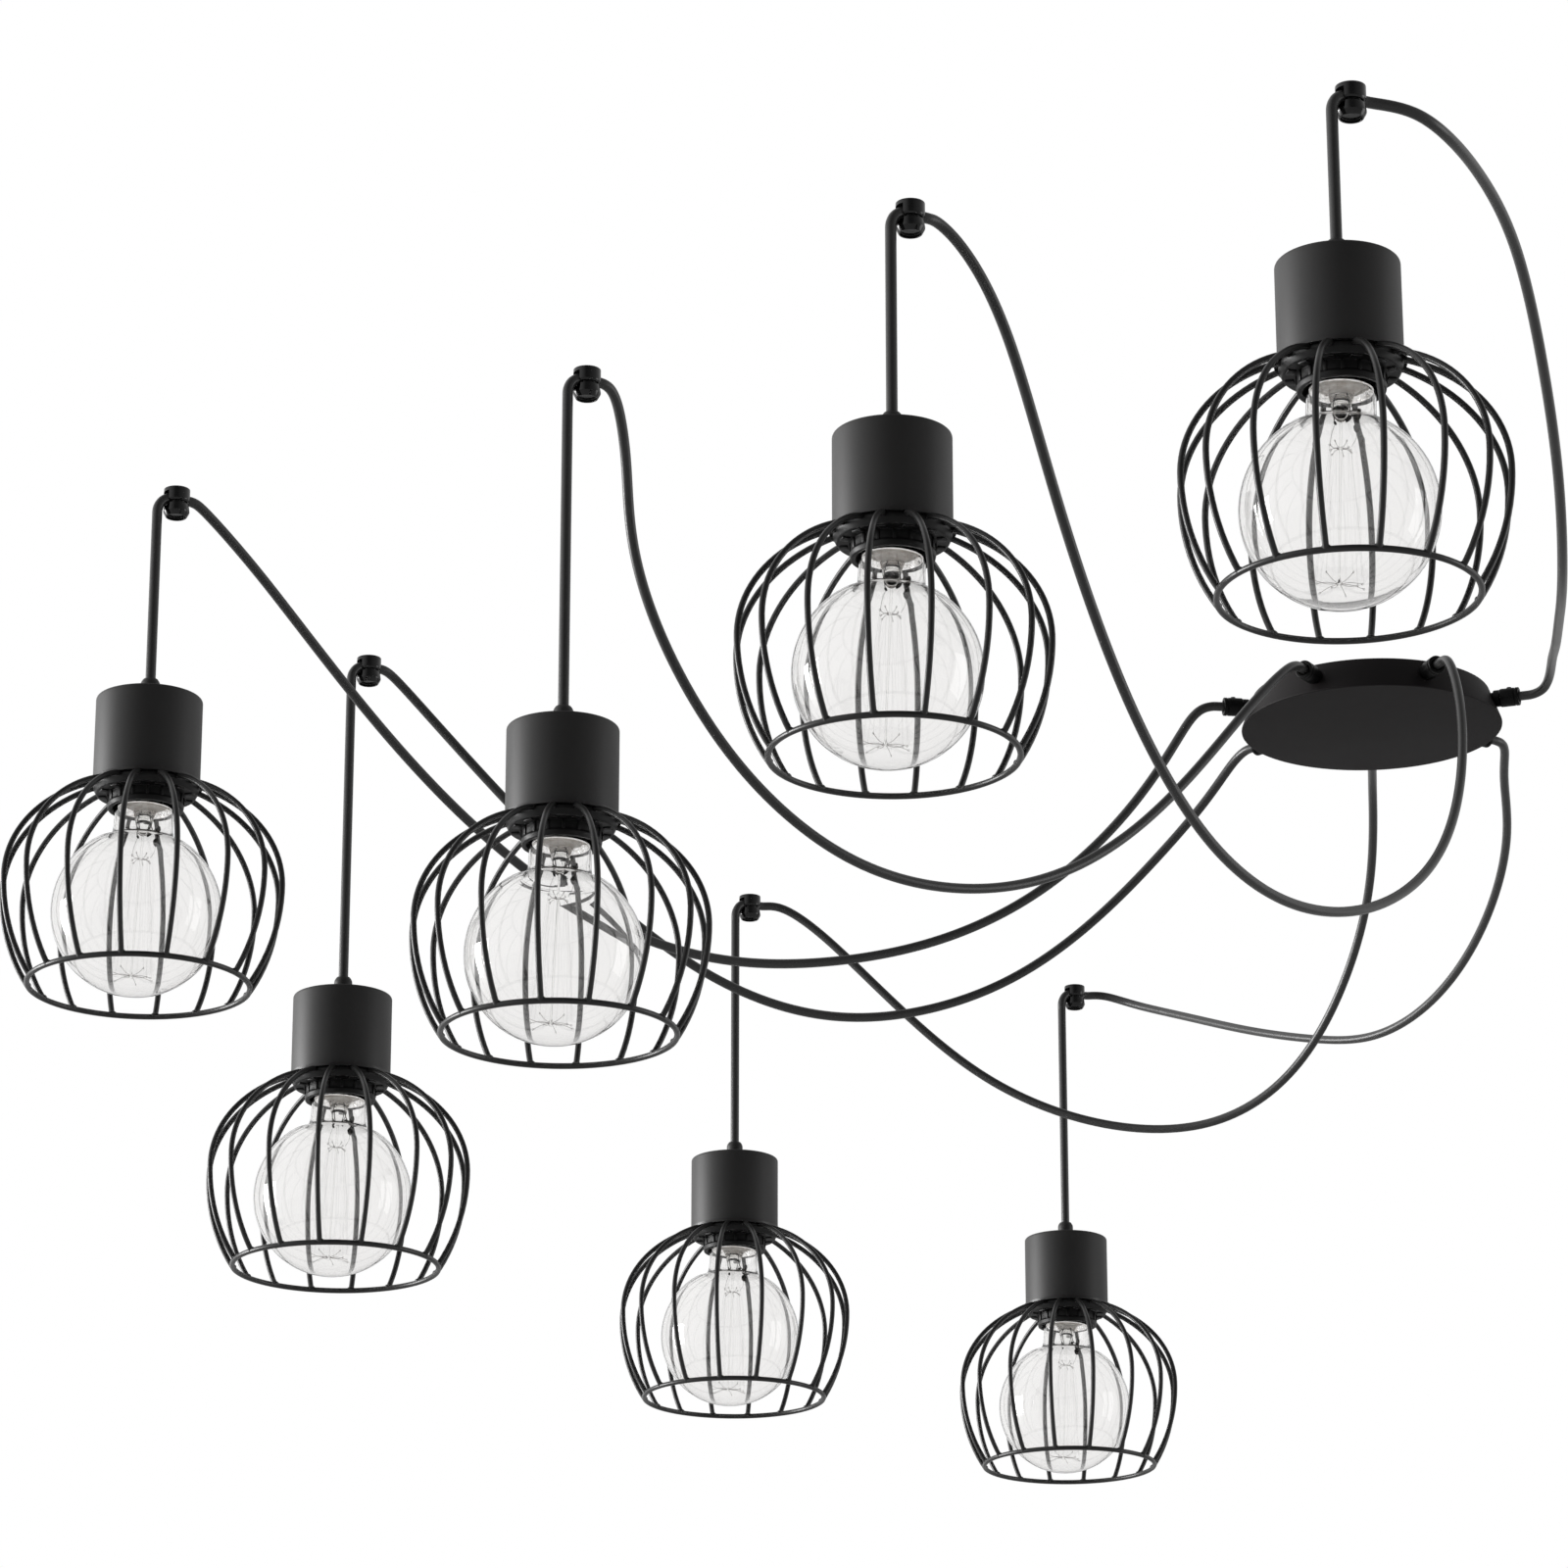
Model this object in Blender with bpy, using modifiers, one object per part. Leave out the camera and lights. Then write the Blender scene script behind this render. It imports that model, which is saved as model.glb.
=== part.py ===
"""Seven-pendant ceiling chandelier with swagged cables.

A round canopy sends seven cables out through grips on its rim. Each cable sags to a small ceiling
hook, passes through its slot and drops to a pendant: a holder cover, a screw-base lamp holder with a
shade ring, a welded wire cage and a globe bulb.

Metres, +Z up. The ceiling is the plane z = 0 and the origin is the middle of the mounting bracket's
ceiling face. Run with: blender --background --python part.py
"""

import math

import bmesh
import bpy
from mathutils import Matrix, Vector

PENDANT_COUNT = 7

# Clearances and modelling overruns.
SEAT_GAP = 0.0003
CUT_OVERRUN = 0.004
MERGE_DISTANCE = 0.00001
SHARP_ANGLE = math.radians(35.0)

# Canopy cover: a shallow cup whose rim widens towards its lower face.
CANOPY_TOP_RADIUS = 0.0750
CANOPY_FACE_RADIUS = 0.0825
CANOPY_HEIGHT = 0.0205
CANOPY_WALL = 0.0012
CANOPY_EDGE = 0.0010
CANOPY_SIDES = 24

# Cable grips on the rim. The first one points right, the next ones follow clockwise from below.
GRIP_FIRST_ANGLE = math.radians(-19.0)
GRIP_RADIUS = 0.0058
GRIP_OUTSIDE = 0.0168
GRIP_DEPTH = 0.0095
GRIP_CHAMFER = 0.0008
GRIP_NUT_LENGTH = 0.0035
GRIP_STEM_RADIUS = 0.0040
GRIP_SIDES = 8

# Mounting bracket: a steel strip with two ears, each with the set screw that holds the canopy. It lies
# along X before it is turned halfway between the grips.
BRACKET_WIDTH = 0.0140
BRACKET_THICKNESS = 0.0020
BRACKET_SIDE_CLEARANCE = 0.0020
EAR_LENGTH = 0.0160
SET_SCREW_RADIUS = 0.0020
SET_SCREW_DEPTH = 0.0125
SET_SCREW_INNER_END = 0.0040
SLOT_LENGTH = 0.0120
SLOT_WIDTH = 0.0050
SLOT_OFFSET = 0.0480

# Terminal block and earth screw under the strip.
TERMINAL_LENGTH = 0.0320
TERMINAL_WIDTH = 0.0180
TERMINAL_HEIGHT = 0.0120
TERMINAL_EDGE = 0.0010
TERMINAL_OFFSET = 0.0210
TERMINAL_POLES = 3
TERMINAL_PITCH = 0.0100
TERMINAL_BORE = 0.0016
EARTH_OFFSET = -0.0220
EARTH_HEAD_RADIUS = 0.0040
EARTH_HEAD_HEIGHT = 0.0025
EARTH_SHANK_RADIUS = 0.0020

# Ceiling hook: slotted plastic cylinder with a clamping knob as its lower end.
HOOK_RADIUS = 0.0075
HOOK_KNOB_RADIUS = 0.0070
HOOK_KNOB_HEIGHT = 0.0082
HOOK_KNOB_ROUNDING = 0.0015
HOOK_DISH_RADIUS = 0.0045
HOOK_DISH_DEPTH = 0.0010
HOOK_SIDES = 8
SLOT_ANGLE = math.radians(214.0)
SLOT_CEILING = 0.0022
GROOVE_DEPTH = 0.0045

# Cable.
CABLE_RADIUS = 0.0029
CABLE_BEND = 0.0110
CABLE_BEND_STEPS = 3
CABLE_BEND_START = 0.0012
CABLE_LEAD = 0.0040
ROUTE_STEPS = 6
SWAG_TURN = math.radians(17.0)
SWAG_STEP = 0.0550
DOME_STEPS = 2
DOME_TIP_SHARE = 0.15

# Holder cover with its cable nipple.
COVER_RADIUS = 0.0300
COVER_HEIGHT = 0.0495
COVER_WALL = 0.0012
COVER_ROUNDING = 0.0015
NIPPLE_RADIUS = 0.0055
NIPPLE_HEIGHT = 0.0130
NIPPLE_DOME = 0.0026
NIPPLE_TIP_RADIUS = 0.0036

# Lamp holder with its shade ring. Depths run down from the cover's lower edge.
HOLDER_RADIUS = 0.0195
HOLDER_SHOULDER = 0.0180
HOLDER_STUD_RADIUS = 0.0050
RING_RADIUS = 0.0295
RING_LOWER_DEPTH = 0.0076
LIP_RADIUS = 0.0215
LIP_DEPTH = 0.0195
LIP_MOUTH_RADIUS = 0.0185
HOLDER_BORE_RADIUS = 0.0142
HOLDER_BORE_START = 0.0095
HOLDER_BORE_TOP = 0.0175

# Wire cage.
WIRE_RADIUS = 0.0016
WIRE_SECTION_SHARE = 0.90
RIB_COUNT = 16
RIB_STEPS = 5
CAGE_BELLY_RADIUS = 0.0784
CAGE_BELLY_DEPTH = 0.0619
CAGE_RING_RADIUS = 0.0615
CAGE_HEIGHT = 0.1200
CAGE_PLATE_RADIUS = 0.0315
CAGE_PLATE_THICKNESS = 0.0016

# Globe bulb.
BULB_RADIUS = 0.0475
BULB_CENTRE_DEPTH = 0.0760
BULB_CAP_RADIUS = 0.0133
BULB_CAP_LOWER_DEPTH = 0.0090
BULB_NECK_RADIUS = 0.0178
BULB_NECK_DEPTH = 0.0240
BULB_NECK_LENGTH = 0.0065
BULB_ARC_STEPS = 5
BULB_ARC_START = math.radians(30.0)

TURNED_SIDES = 12

# Places of the hooks on the ceiling, as shares of the reach of the farthest one, and the distances from
# the ceiling to the pendants' covers, as shares of the longest one.
HOOK_FIELD = 0.8790
HOOK_PLACE_SHARES = [
    (-0.113, -1.000), (-0.351, -0.848), (-0.545, -0.604), (-0.819, -0.405),
    (-0.717, -0.084), (-0.451, 0.476), (-0.177, 0.730),
]
LONGEST_DROP = 0.2214
DROP_SHARES = [0.436, 0.585, 0.941, 0.588, 1.000, 0.875, 0.881]

# How far each pendant is turned about its cable.
PENDANT_TURNS = [math.radians(turn) for turn in (-4.0, 1.0, 5.0, 9.0, 7.0, 3.0, -1.0)]

# Points that guide the curve of each swagged cable between its grip and its hook.
CABLE_ROUTES = [
    [
        (0.105, -0.039, -0.008), (0.107, -0.053, -0.003), (0.101, -0.103, -0.009), (0.091, -0.187, -0.034),
        (0.077, -0.298, -0.056), (0.063, -0.411, -0.081), (0.049, -0.513, -0.059), (0.027, -0.617, -0.033),
        (0.003, -0.709, -0.004), (-0.025, -0.788, -0.004), (-0.048, -0.850, -0.013), (-0.067, -0.867, -0.006),
    ],
    [
        (0.037, -0.111, -0.014), (0.040, -0.136, -0.051), (0.034, -0.176, -0.114), (0.013, -0.230, -0.182),
        (-0.029, -0.297, -0.234), (-0.085, -0.374, -0.262), (-0.142, -0.459, -0.255), (-0.193, -0.552, -0.201),
        (-0.232, -0.630, -0.115), (-0.256, -0.685, -0.044), (-0.278, -0.717, -0.014), (-0.294, -0.733, -0.004),
    ],
    [
        (-0.062, -0.101, -0.015), (-0.088, -0.127, -0.049), (-0.125, -0.162, -0.105), (-0.170, -0.204, -0.162),
        (-0.222, -0.250, -0.204), (-0.281, -0.298, -0.224), (-0.341, -0.349, -0.222), (-0.399, -0.400, -0.186),
        (-0.440, -0.440, -0.127), (-0.458, -0.463, -0.074), (-0.458, -0.484, -0.034), (-0.463, -0.516, -0.008),
    ],
    [
        (-0.114, -0.012, -0.013), (-0.131, -0.007, -0.044), (-0.164, -0.003, -0.089), (-0.213, -0.006, -0.134),
        (-0.273, -0.021, -0.169), (-0.344, -0.050, -0.192), (-0.420, -0.091, -0.204), (-0.498, -0.146, -0.188),
        (-0.573, -0.204, -0.139), (-0.632, -0.260, -0.081), (-0.675, -0.310, -0.034), (-0.705, -0.344, -0.008),
    ],
    [
        (-0.081, 0.084, -0.013), (-0.097, 0.099, -0.035), (-0.127, 0.114, -0.067), (-0.168, 0.122, -0.109),
        (-0.220, 0.118, -0.151), (-0.282, 0.100, -0.180), (-0.351, 0.069, -0.194), (-0.424, 0.026, -0.178),
        (-0.496, -0.014, -0.128), (-0.553, -0.037, -0.073), (-0.594, -0.049, -0.029), (-0.615, -0.061, -0.008),
    ],
    [
        (0.013, 0.120, -0.010), (0.016, 0.149, -0.013), (0.020, 0.186, -0.029), (0.021, 0.232, -0.062),
        (0.007, 0.281, -0.110), (-0.023, 0.330, -0.158), (-0.077, 0.372, -0.185), (-0.155, 0.404, -0.174),
        (-0.233, 0.426, -0.135), (-0.296, 0.426, -0.076), (-0.342, 0.430, -0.026), (-0.373, 0.429, -0.003),
    ],
    [
        (0.094, 0.064, -0.010), (0.095, 0.099, -0.018), (0.107, 0.157, -0.036), (0.106, 0.225, -0.060),
        (0.092, 0.291, -0.087), (0.068, 0.350, -0.106), (0.037, 0.403, -0.111), (0.002, 0.454, -0.095),
        (-0.038, 0.519, -0.070), (-0.077, 0.587, -0.039), (-0.110, 0.638, -0.016), (-0.133, 0.652, -0.003),
    ],
]

# Values worked out from the sizes above.
CABLE_AXIS_DEPTH = SLOT_CEILING + SEAT_GAP + CABLE_RADIUS
KNOB_TOP_DEPTH = CABLE_AXIS_DEPTH + CABLE_RADIUS + SEAT_GAP
BRACKET_TURN = GRIP_FIRST_ANGLE + math.tau / PENDANT_COUNT / 4
CABLE_END_DEPTH = CABLE_AXIS_DEPTH + CABLE_BEND
PIVOT_DEPTH = CABLE_END_DEPTH + SEAT_GAP + CABLE_RADIUS
SLOT_DIRECTION = Vector((math.cos(SLOT_ANGLE), math.sin(SLOT_ANGLE), 0.0))


def clear_scene():
    for obj in list(bpy.data.objects):
        bpy.data.objects.remove(obj, do_unlink=True)


def new_collection(name):
    collection = bpy.data.collections.new(name)
    bpy.context.scene.collection.children.link(collection)
    return collection


def material(name, colour, roughness, metallic=0.0):
    mat = bpy.data.materials.new(name)
    mat.use_nodes = True
    shader = mat.node_tree.nodes["Principled BSDF"]
    shader.inputs["Base Color"].default_value = (*colour, 1.0)
    shader.inputs["Roughness"].default_value = roughness
    shader.inputs["Metallic"].default_value = metallic
    return mat


def glass_material(name):
    mat = material(name, (0.95, 0.96, 0.96), 0.03)
    mat.node_tree.nodes["Principled BSDF"].inputs["Transmission Weight"].default_value = 1.0
    return mat


def link_object(name, data, collection):
    obj = bpy.data.objects.new(name, data)
    collection.objects.link(obj)
    return obj


def turned(name, outline, sides, collection, closed=False):
    """Turn an outline of (radius, height) points about Z; its outer side runs from top to bottom."""
    mesh = bpy.data.meshes.new(name)
    points = [(radius, 0.0, height) for radius, height in outline]
    edges = [(i, i + 1) for i in range(len(points) - 1)]
    if closed:
        edges.append((len(points) - 1, 0))
    mesh.from_pydata(points, edges, [])
    obj = link_object(name, mesh, collection)
    screw = obj.modifiers.new("Turn", "SCREW")
    screw.steps = sides
    screw.render_steps = sides
    screw.use_merge_vertices = True
    screw.merge_threshold = MERGE_DISTANCE
    screw.use_smooth_shade = True
    return obj


def wire(name, points, radius, resolution, collection, cyclic=False, radius_shares=None):
    """A round bar along a polyline, as a bevelled curve with closed ends."""
    curve = bpy.data.curves.new(name, "CURVE")
    curve.dimensions = "3D"
    curve.bevel_depth = radius
    curve.bevel_resolution = resolution
    curve.use_fill_caps = not cyclic
    spline = curve.splines.new("POLY")
    spline.points.add(len(points) - 1)
    for index, point in enumerate(points):
        spline.points[index].co = (*point, 1.0)
        if radius_shares:
            spline.points[index].radius = radius_shares[index]
    spline.use_cyclic_u = cyclic
    return link_object(name, curve, collection)


def flat_plate(name, outline, thickness, collection):
    """A flat outline in the XY plane with half its thickness on each side."""
    curve = bpy.data.curves.new(name, "CURVE")
    curve.dimensions = "2D"
    curve.fill_mode = "BOTH"
    curve.extrude = thickness / 2
    spline = curve.splines.new("POLY")
    spline.points.add(len(outline) - 1)
    for index, (x, y) in enumerate(outline):
        spline.points[index].co = (x, y, 0.0, 1.0)
    spline.use_cyclic_u = True
    return link_object(name, curve, collection)


def rod(name, radius, start, end, sides, collection):
    """A round bar between two points, as a primitive cylinder."""
    axis = end - start
    bpy.ops.mesh.primitive_cylinder_add(vertices=sides, radius=radius, depth=axis.length)
    obj = bpy.context.active_object
    obj.name = name
    turn = Vector((0.0, 0.0, 1.0)).rotation_difference(axis).to_matrix().to_4x4()
    obj.data.transform(Matrix.Translation((start + end) / 2) @ turn)
    for owner in list(obj.users_collection):
        owner.objects.unlink(obj)
    collection.objects.link(obj)
    return obj


def box(name, low, high, collection):
    bpy.ops.mesh.primitive_cube_add(size=1.0)
    obj = bpy.context.active_object
    obj.name = name
    size = high - low
    obj.data.transform(Matrix.Translation((low + high) / 2) @ Matrix.Diagonal((*size, 1.0)))
    for owner in list(obj.users_collection):
        owner.objects.unlink(obj)
    collection.objects.link(obj)
    return obj


def finished_mesh(obj, name):
    """The evaluated shape as a mesh in world space, welded; the source object is removed."""
    bpy.context.view_layer.update()
    evaluated = obj.evaluated_get(bpy.context.evaluated_depsgraph_get())
    mesh = bpy.data.meshes.new_from_object(evaluated)
    mesh.transform(obj.matrix_world)
    mesh.name = name
    shape = bmesh.new()
    shape.from_mesh(mesh)
    bmesh.ops.remove_doubles(shape, verts=shape.verts, dist=MERGE_DISTANCE)
    bmesh.ops.recalc_face_normals(shape, faces=shape.faces)
    shape.to_mesh(mesh)
    shape.free()
    mesh.shade_smooth()
    mesh.set_sharp_from_angle(angle=SHARP_ANGLE)
    bpy.data.objects.remove(obj, do_unlink=True)
    return mesh


def as_mesh_object(obj, name, collection):
    return link_object(name, finished_mesh(obj, name), collection)


def joined(name, objects, collection):
    """Several mesh objects as one object with loose bodies."""
    shape = bmesh.new()
    for obj in objects:
        mesh = finished_mesh(obj, name + "_piece")
        shape.from_mesh(mesh)
        bpy.data.meshes.remove(mesh)
    mesh = bpy.data.meshes.new(name)
    shape.to_mesh(mesh)
    shape.free()
    return link_object(name, mesh, collection)


def combine(obj, other, operation):
    """Boolean of two mesh objects, applied by finished_mesh later."""
    modifier = obj.modifiers.new(operation.title(), "BOOLEAN")
    modifier.operation = operation
    modifier.solver = "EXACT"
    modifier.object = other
    other.hide_render = True
    other.display_type = "WIRE"


def place(name, mesh, collection, mat, location=(0.0, 0.0, 0.0), turn=0.0, parent=None):
    obj = link_object(name, mesh, collection)
    obj.location = location
    obj.rotation_euler = (0.0, 0.0, turn)
    obj.parent = parent
    if not mesh.materials:
        mesh.materials.append(mat)
    return obj


def pivot_empty(name, location, collection, parent=None):
    empty = bpy.data.objects.new(name, None)
    empty.empty_display_size = HOOK_RADIUS
    collection.objects.link(empty)
    empty.location = location
    empty.parent = parent
    return empty


def grip_angle(index):
    return GRIP_FIRST_ANGLE - index * math.tau / PENDANT_COUNT


def hole_radius(radius, sides):
    """Radius of a faceted hole whose flats clear a round bar of the given radius."""
    return (radius + SEAT_GAP) / math.cos(math.pi / sides)


def rim_radius(depth):
    """Outer radius of the canopy rim at a depth below the ceiling."""
    return CANOPY_TOP_RADIUS + (CANOPY_FACE_RADIUS - CANOPY_TOP_RADIUS) * depth / CANOPY_HEIGHT


def grip_reach():
    """Distance from the canopy's axis to a grip's outer end."""
    return rim_radius(GRIP_DEPTH) + GRIP_OUTSIDE


def arc_points(centre, radius, start, end, steps):
    angles = [start + (end - start) * i / steps for i in range(steps + 1)]
    return [(centre[0] + radius * math.cos(a), centre[1] + radius * math.sin(a)) for a in angles]


def obround(length, width, centre_x, steps):
    """Slot outline with round ends along X."""
    reach = (length - width) / 2
    right = arc_points((centre_x + reach, 0.0), width / 2, -math.pi / 2, math.pi / 2, steps)
    left = arc_points((centre_x - reach, 0.0), width / 2, math.pi / 2, math.pi * 3 / 2, steps)
    return right + left


def spline_point(span, share):
    """A point of one span of an even cubic spline, from the span's four control points."""
    first, second, third, fourth = span
    rest = 1.0 - share
    total = first * rest ** 3 + fourth * share ** 3
    total += second * (3 * share ** 3 - 6 * share ** 2 + 4)
    total += third * (3 * rest ** 3 - 6 * rest ** 2 + 4)
    return total / 6


def smooth_line(controls, steps):
    """The even cubic spline drawn by the control points."""
    spans = list(zip(controls, controls[1:], controls[2:], controls[3:]))
    line = [spline_point(span, step / steps) for span in spans for step in range(steps)]
    line.append(spline_point(spans[-1], 1.0))
    return line


def thinned(line):
    """The same line with a point kept wherever it has turned or run far enough."""
    kept = [line[0]]
    turned_by = 0.0
    for before, here, after in zip(line, line[1:], line[2:]):
        turned_by += (here - before).angle(after - here)
        if turned_by > SWAG_TURN or (here - kept[-1]).length > SWAG_STEP:
            kept.append(here)
            turned_by = 0.0
    kept.append(line[-1])
    return kept


def hook_place(index):
    share_x, share_y = HOOK_PLACE_SHARES[index]
    return Vector((HOOK_FIELD * share_x, HOOK_FIELD * share_y, 0.0))


def swag_line(index):
    """The cable's axis from its grip, along its route, through the hook and round to straight down."""
    angle = grip_angle(index)
    outward = Vector((math.cos(angle), math.sin(angle), 0.0))
    drop = Vector((0.0, 0.0, -1.0))
    exit_point = outward * (grip_reach() + SEAT_GAP) + drop * GRIP_DEPTH
    hook = hook_place(index) + drop * CABLE_AXIS_DEPTH
    mouth = hook - SLOT_DIRECTION * HOOK_RADIUS
    bend_start = hook + SLOT_DIRECTION * CABLE_BEND_START
    lead_end = exit_point + outward * CABLE_LEAD
    start = [lead_end - outward * CABLE_LEAD, lead_end, lead_end + outward * CABLE_LEAD]
    route = [Vector(point) for point in CABLE_ROUTES[index]]
    end = [mouth - SLOT_DIRECTION * CABLE_LEAD, mouth, bend_start, bend_start * 2 - mouth]
    line = [exit_point, *thinned(smooth_line(start + route + end, ROUTE_STEPS))]
    centre = bend_start + drop * CABLE_BEND
    for step in range(1, CABLE_BEND_STEPS + 1):
        turn = math.pi / 2 * step / CABLE_BEND_STEPS
        ahead = SLOT_DIRECTION * math.sin(turn) - drop * math.cos(turn)
        line.append(centre + ahead * CABLE_BEND)
    return line


def canopy_cover_mesh(cutters):
    inner_face = CANOPY_HEIGHT - CANOPY_WALL
    outline = [
        (0.0, -inner_face),
        (rim_radius(inner_face) - CANOPY_WALL, -inner_face),
        (CANOPY_TOP_RADIUS - CANOPY_WALL, 0.0),
        (CANOPY_TOP_RADIUS, 0.0),
        (rim_radius(CANOPY_HEIGHT - CANOPY_EDGE), CANOPY_EDGE - CANOPY_HEIGHT),
        (CANOPY_FACE_RADIUS - CANOPY_EDGE, -CANOPY_HEIGHT),
        (0.0, -CANOPY_HEIGHT),
    ]
    cover = turned("canopy_blank", outline, CANOPY_SIDES, cutters)
    holes = []
    stem_hole = hole_radius(GRIP_STEM_RADIUS, GRIP_SIDES)
    screw_hole = hole_radius(SET_SCREW_RADIUS, GRIP_SIDES)
    for index in range(PENDANT_COUNT):
        way = Matrix.Rotation(grip_angle(index), 4, "Z") @ Vector((1.0, 0.0, 0.0))
        start = way * (CANOPY_TOP_RADIUS - GRIP_RADIUS) + Vector((0.0, 0.0, -GRIP_DEPTH))
        end = way * (CANOPY_FACE_RADIUS + CUT_OVERRUN) + Vector((0.0, 0.0, -GRIP_DEPTH))
        holes.append(rod("grip_hole", stem_hole, start, end, GRIP_SIDES, cutters))
    for side in (-1.0, 1.0):
        way = Matrix.Rotation(BRACKET_TURN, 4, "Z") @ Vector((side, 0.0, 0.0))
        start = way * (CANOPY_TOP_RADIUS - GRIP_RADIUS) + Vector((0.0, 0.0, -SET_SCREW_DEPTH))
        end = way * (CANOPY_FACE_RADIUS + CUT_OVERRUN) + Vector((0.0, 0.0, -SET_SCREW_DEPTH))
        holes.append(rod("screw_hole", screw_hole, start, end, GRIP_SIDES, cutters))
    combine(cover, joined("rim_holes", holes, cutters), "DIFFERENCE")
    return finished_mesh(cover, "canopy_cover")


def cable_grip_mesh(cutters):
    """Grip along +X: the outer body and the inner nut sit on the two sides of the sloping rim."""
    depth = Vector((0.0, 0.0, -GRIP_DEPTH))
    way = Vector((1.0, 0.0, 0.0))
    inner_end = rim_radius(GRIP_DEPTH - GRIP_RADIUS) - CANOPY_WALL - SEAT_GAP * 3 - GRIP_NUT_LENGTH
    outer_end = grip_reach()
    start = depth + way * inner_end
    blank = rod("grip_blank", GRIP_RADIUS, start, depth + way * outer_end, GRIP_SIDES, cutters)
    shape = bmesh.new()
    shape.from_mesh(blank.data)
    at_end = outer_end - MERGE_DISTANCE
    outer_rim = [edge for edge in shape.edges if all(v.co.x > at_end for v in edge.verts)]
    bmesh.ops.bevel(shape, geom=outer_rim, offset=GRIP_CHAMFER, segments=1, profile=0.5, affect="EDGES")
    shape.to_mesh(blank.data)
    shape.free()
    low = CANOPY_HEIGHT + CUT_OVERRUN
    outward = SEAT_GAP
    inward = CANOPY_WALL + SEAT_GAP + CANOPY_FACE_RADIUS * (1.0 - math.cos(math.pi / CANOPY_SIDES))
    wall_cut = [
        (rim_radius(-CUT_OVERRUN) + outward, CUT_OVERRUN),
        (rim_radius(low) + outward, -low),
        (rim_radius(low) - inward, -low),
        (rim_radius(-CUT_OVERRUN) - inward, CUT_OVERRUN),
    ]
    combine(blank, turned("wall_cut", wall_cut, CANOPY_SIDES * 4, cutters, closed=True), "DIFFERENCE")
    grip = as_mesh_object(blank, "grip_halves", cutters)
    stem_start = depth + way * (inner_end + GRIP_NUT_LENGTH / 2)
    stem_end = depth + way * (outer_end - GRIP_CHAMFER * 2)
    stem = rod("grip_stem", GRIP_STEM_RADIUS, stem_start, stem_end, GRIP_SIDES, cutters)
    combine(grip, stem, "UNION")
    return finished_mesh(grip, "cable_grip")


def mounting_bracket_mesh(cutters):
    half = min(rim_radius(0.0), rim_radius(EAR_LENGTH)) - CANOPY_WALL - BRACKET_SIDE_CLEARANCE
    inner = half - BRACKET_THICKNESS
    outline = [
        (-half, 0.0), (-half, -EAR_LENGTH), (-inner, -EAR_LENGTH), (-inner, -BRACKET_THICKNESS),
        (inner, -BRACKET_THICKNESS), (inner, -EAR_LENGTH), (half, -EAR_LENGTH), (half, 0.0),
    ]
    strip = flat_plate("strip_blank", outline, BRACKET_WIDTH, cutters)
    strip.rotation_euler = (math.pi / 2, 0.0, 0.0)
    bracket = as_mesh_object(strip, "bracket_blank", cutters)
    slots = []
    for side in (-1.0, 1.0):
        outline = obround(SLOT_LENGTH, SLOT_WIDTH, side * SLOT_OFFSET, 4)
        slot = flat_plate("slot_cut", outline, BRACKET_THICKNESS + CUT_OVERRUN, cutters)
        slot.location.z = -BRACKET_THICKNESS / 2
        slots.append(slot)
    earth_low = Vector((EARTH_OFFSET, 0.0, -BRACKET_THICKNESS - CUT_OVERRUN))
    earth_high = Vector((EARTH_OFFSET, 0.0, CUT_OVERRUN))
    earth_hole = hole_radius(EARTH_SHANK_RADIUS, GRIP_SIDES)
    slots.append(rod("earth_cut", earth_hole, earth_low, earth_high, GRIP_SIDES, cutters))
    combine(bracket, joined("bracket_holes", slots, cutters), "DIFFERENCE")
    screws = []
    for side in (-1.0, 1.0):
        start = Vector((side * (inner - SET_SCREW_INNER_END), 0.0, -SET_SCREW_DEPTH))
        end = Vector((side * (rim_radius(SET_SCREW_DEPTH - SET_SCREW_RADIUS)), 0.0, -SET_SCREW_DEPTH))
        screws.append(rod("set_screw", SET_SCREW_RADIUS, start, end, GRIP_SIDES, cutters))
    combine(bracket, joined("set_screws", screws, cutters), "UNION")
    return finished_mesh(bracket, "mounting_bracket")


def terminal_block_mesh(cutters):
    top = -BRACKET_THICKNESS - SEAT_GAP
    low = Vector((TERMINAL_OFFSET - TERMINAL_LENGTH / 2, -TERMINAL_WIDTH / 2, top - TERMINAL_HEIGHT))
    high = Vector((TERMINAL_OFFSET + TERMINAL_LENGTH / 2, TERMINAL_WIDTH / 2, top))
    block = box("terminal_blank", low, high, cutters)
    bevel = block.modifiers.new("Edges", "BEVEL")
    bevel.width = TERMINAL_EDGE
    bevel.segments = 1
    bores = []
    for pole in range(TERMINAL_POLES):
        x = TERMINAL_OFFSET + (pole - (TERMINAL_POLES - 1) / 2) * TERMINAL_PITCH
        start = Vector((x, -TERMINAL_WIDTH / 2 - CUT_OVERRUN, top - TERMINAL_HEIGHT / 2))
        end = Vector((x, TERMINAL_WIDTH / 2 + CUT_OVERRUN, top - TERMINAL_HEIGHT / 2))
        bores.append(rod("pole_bore", TERMINAL_BORE, start, end, GRIP_SIDES, cutters))
    combine(block, joined("pole_bores", bores, cutters), "DIFFERENCE")
    return finished_mesh(block, "terminal_block")


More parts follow.
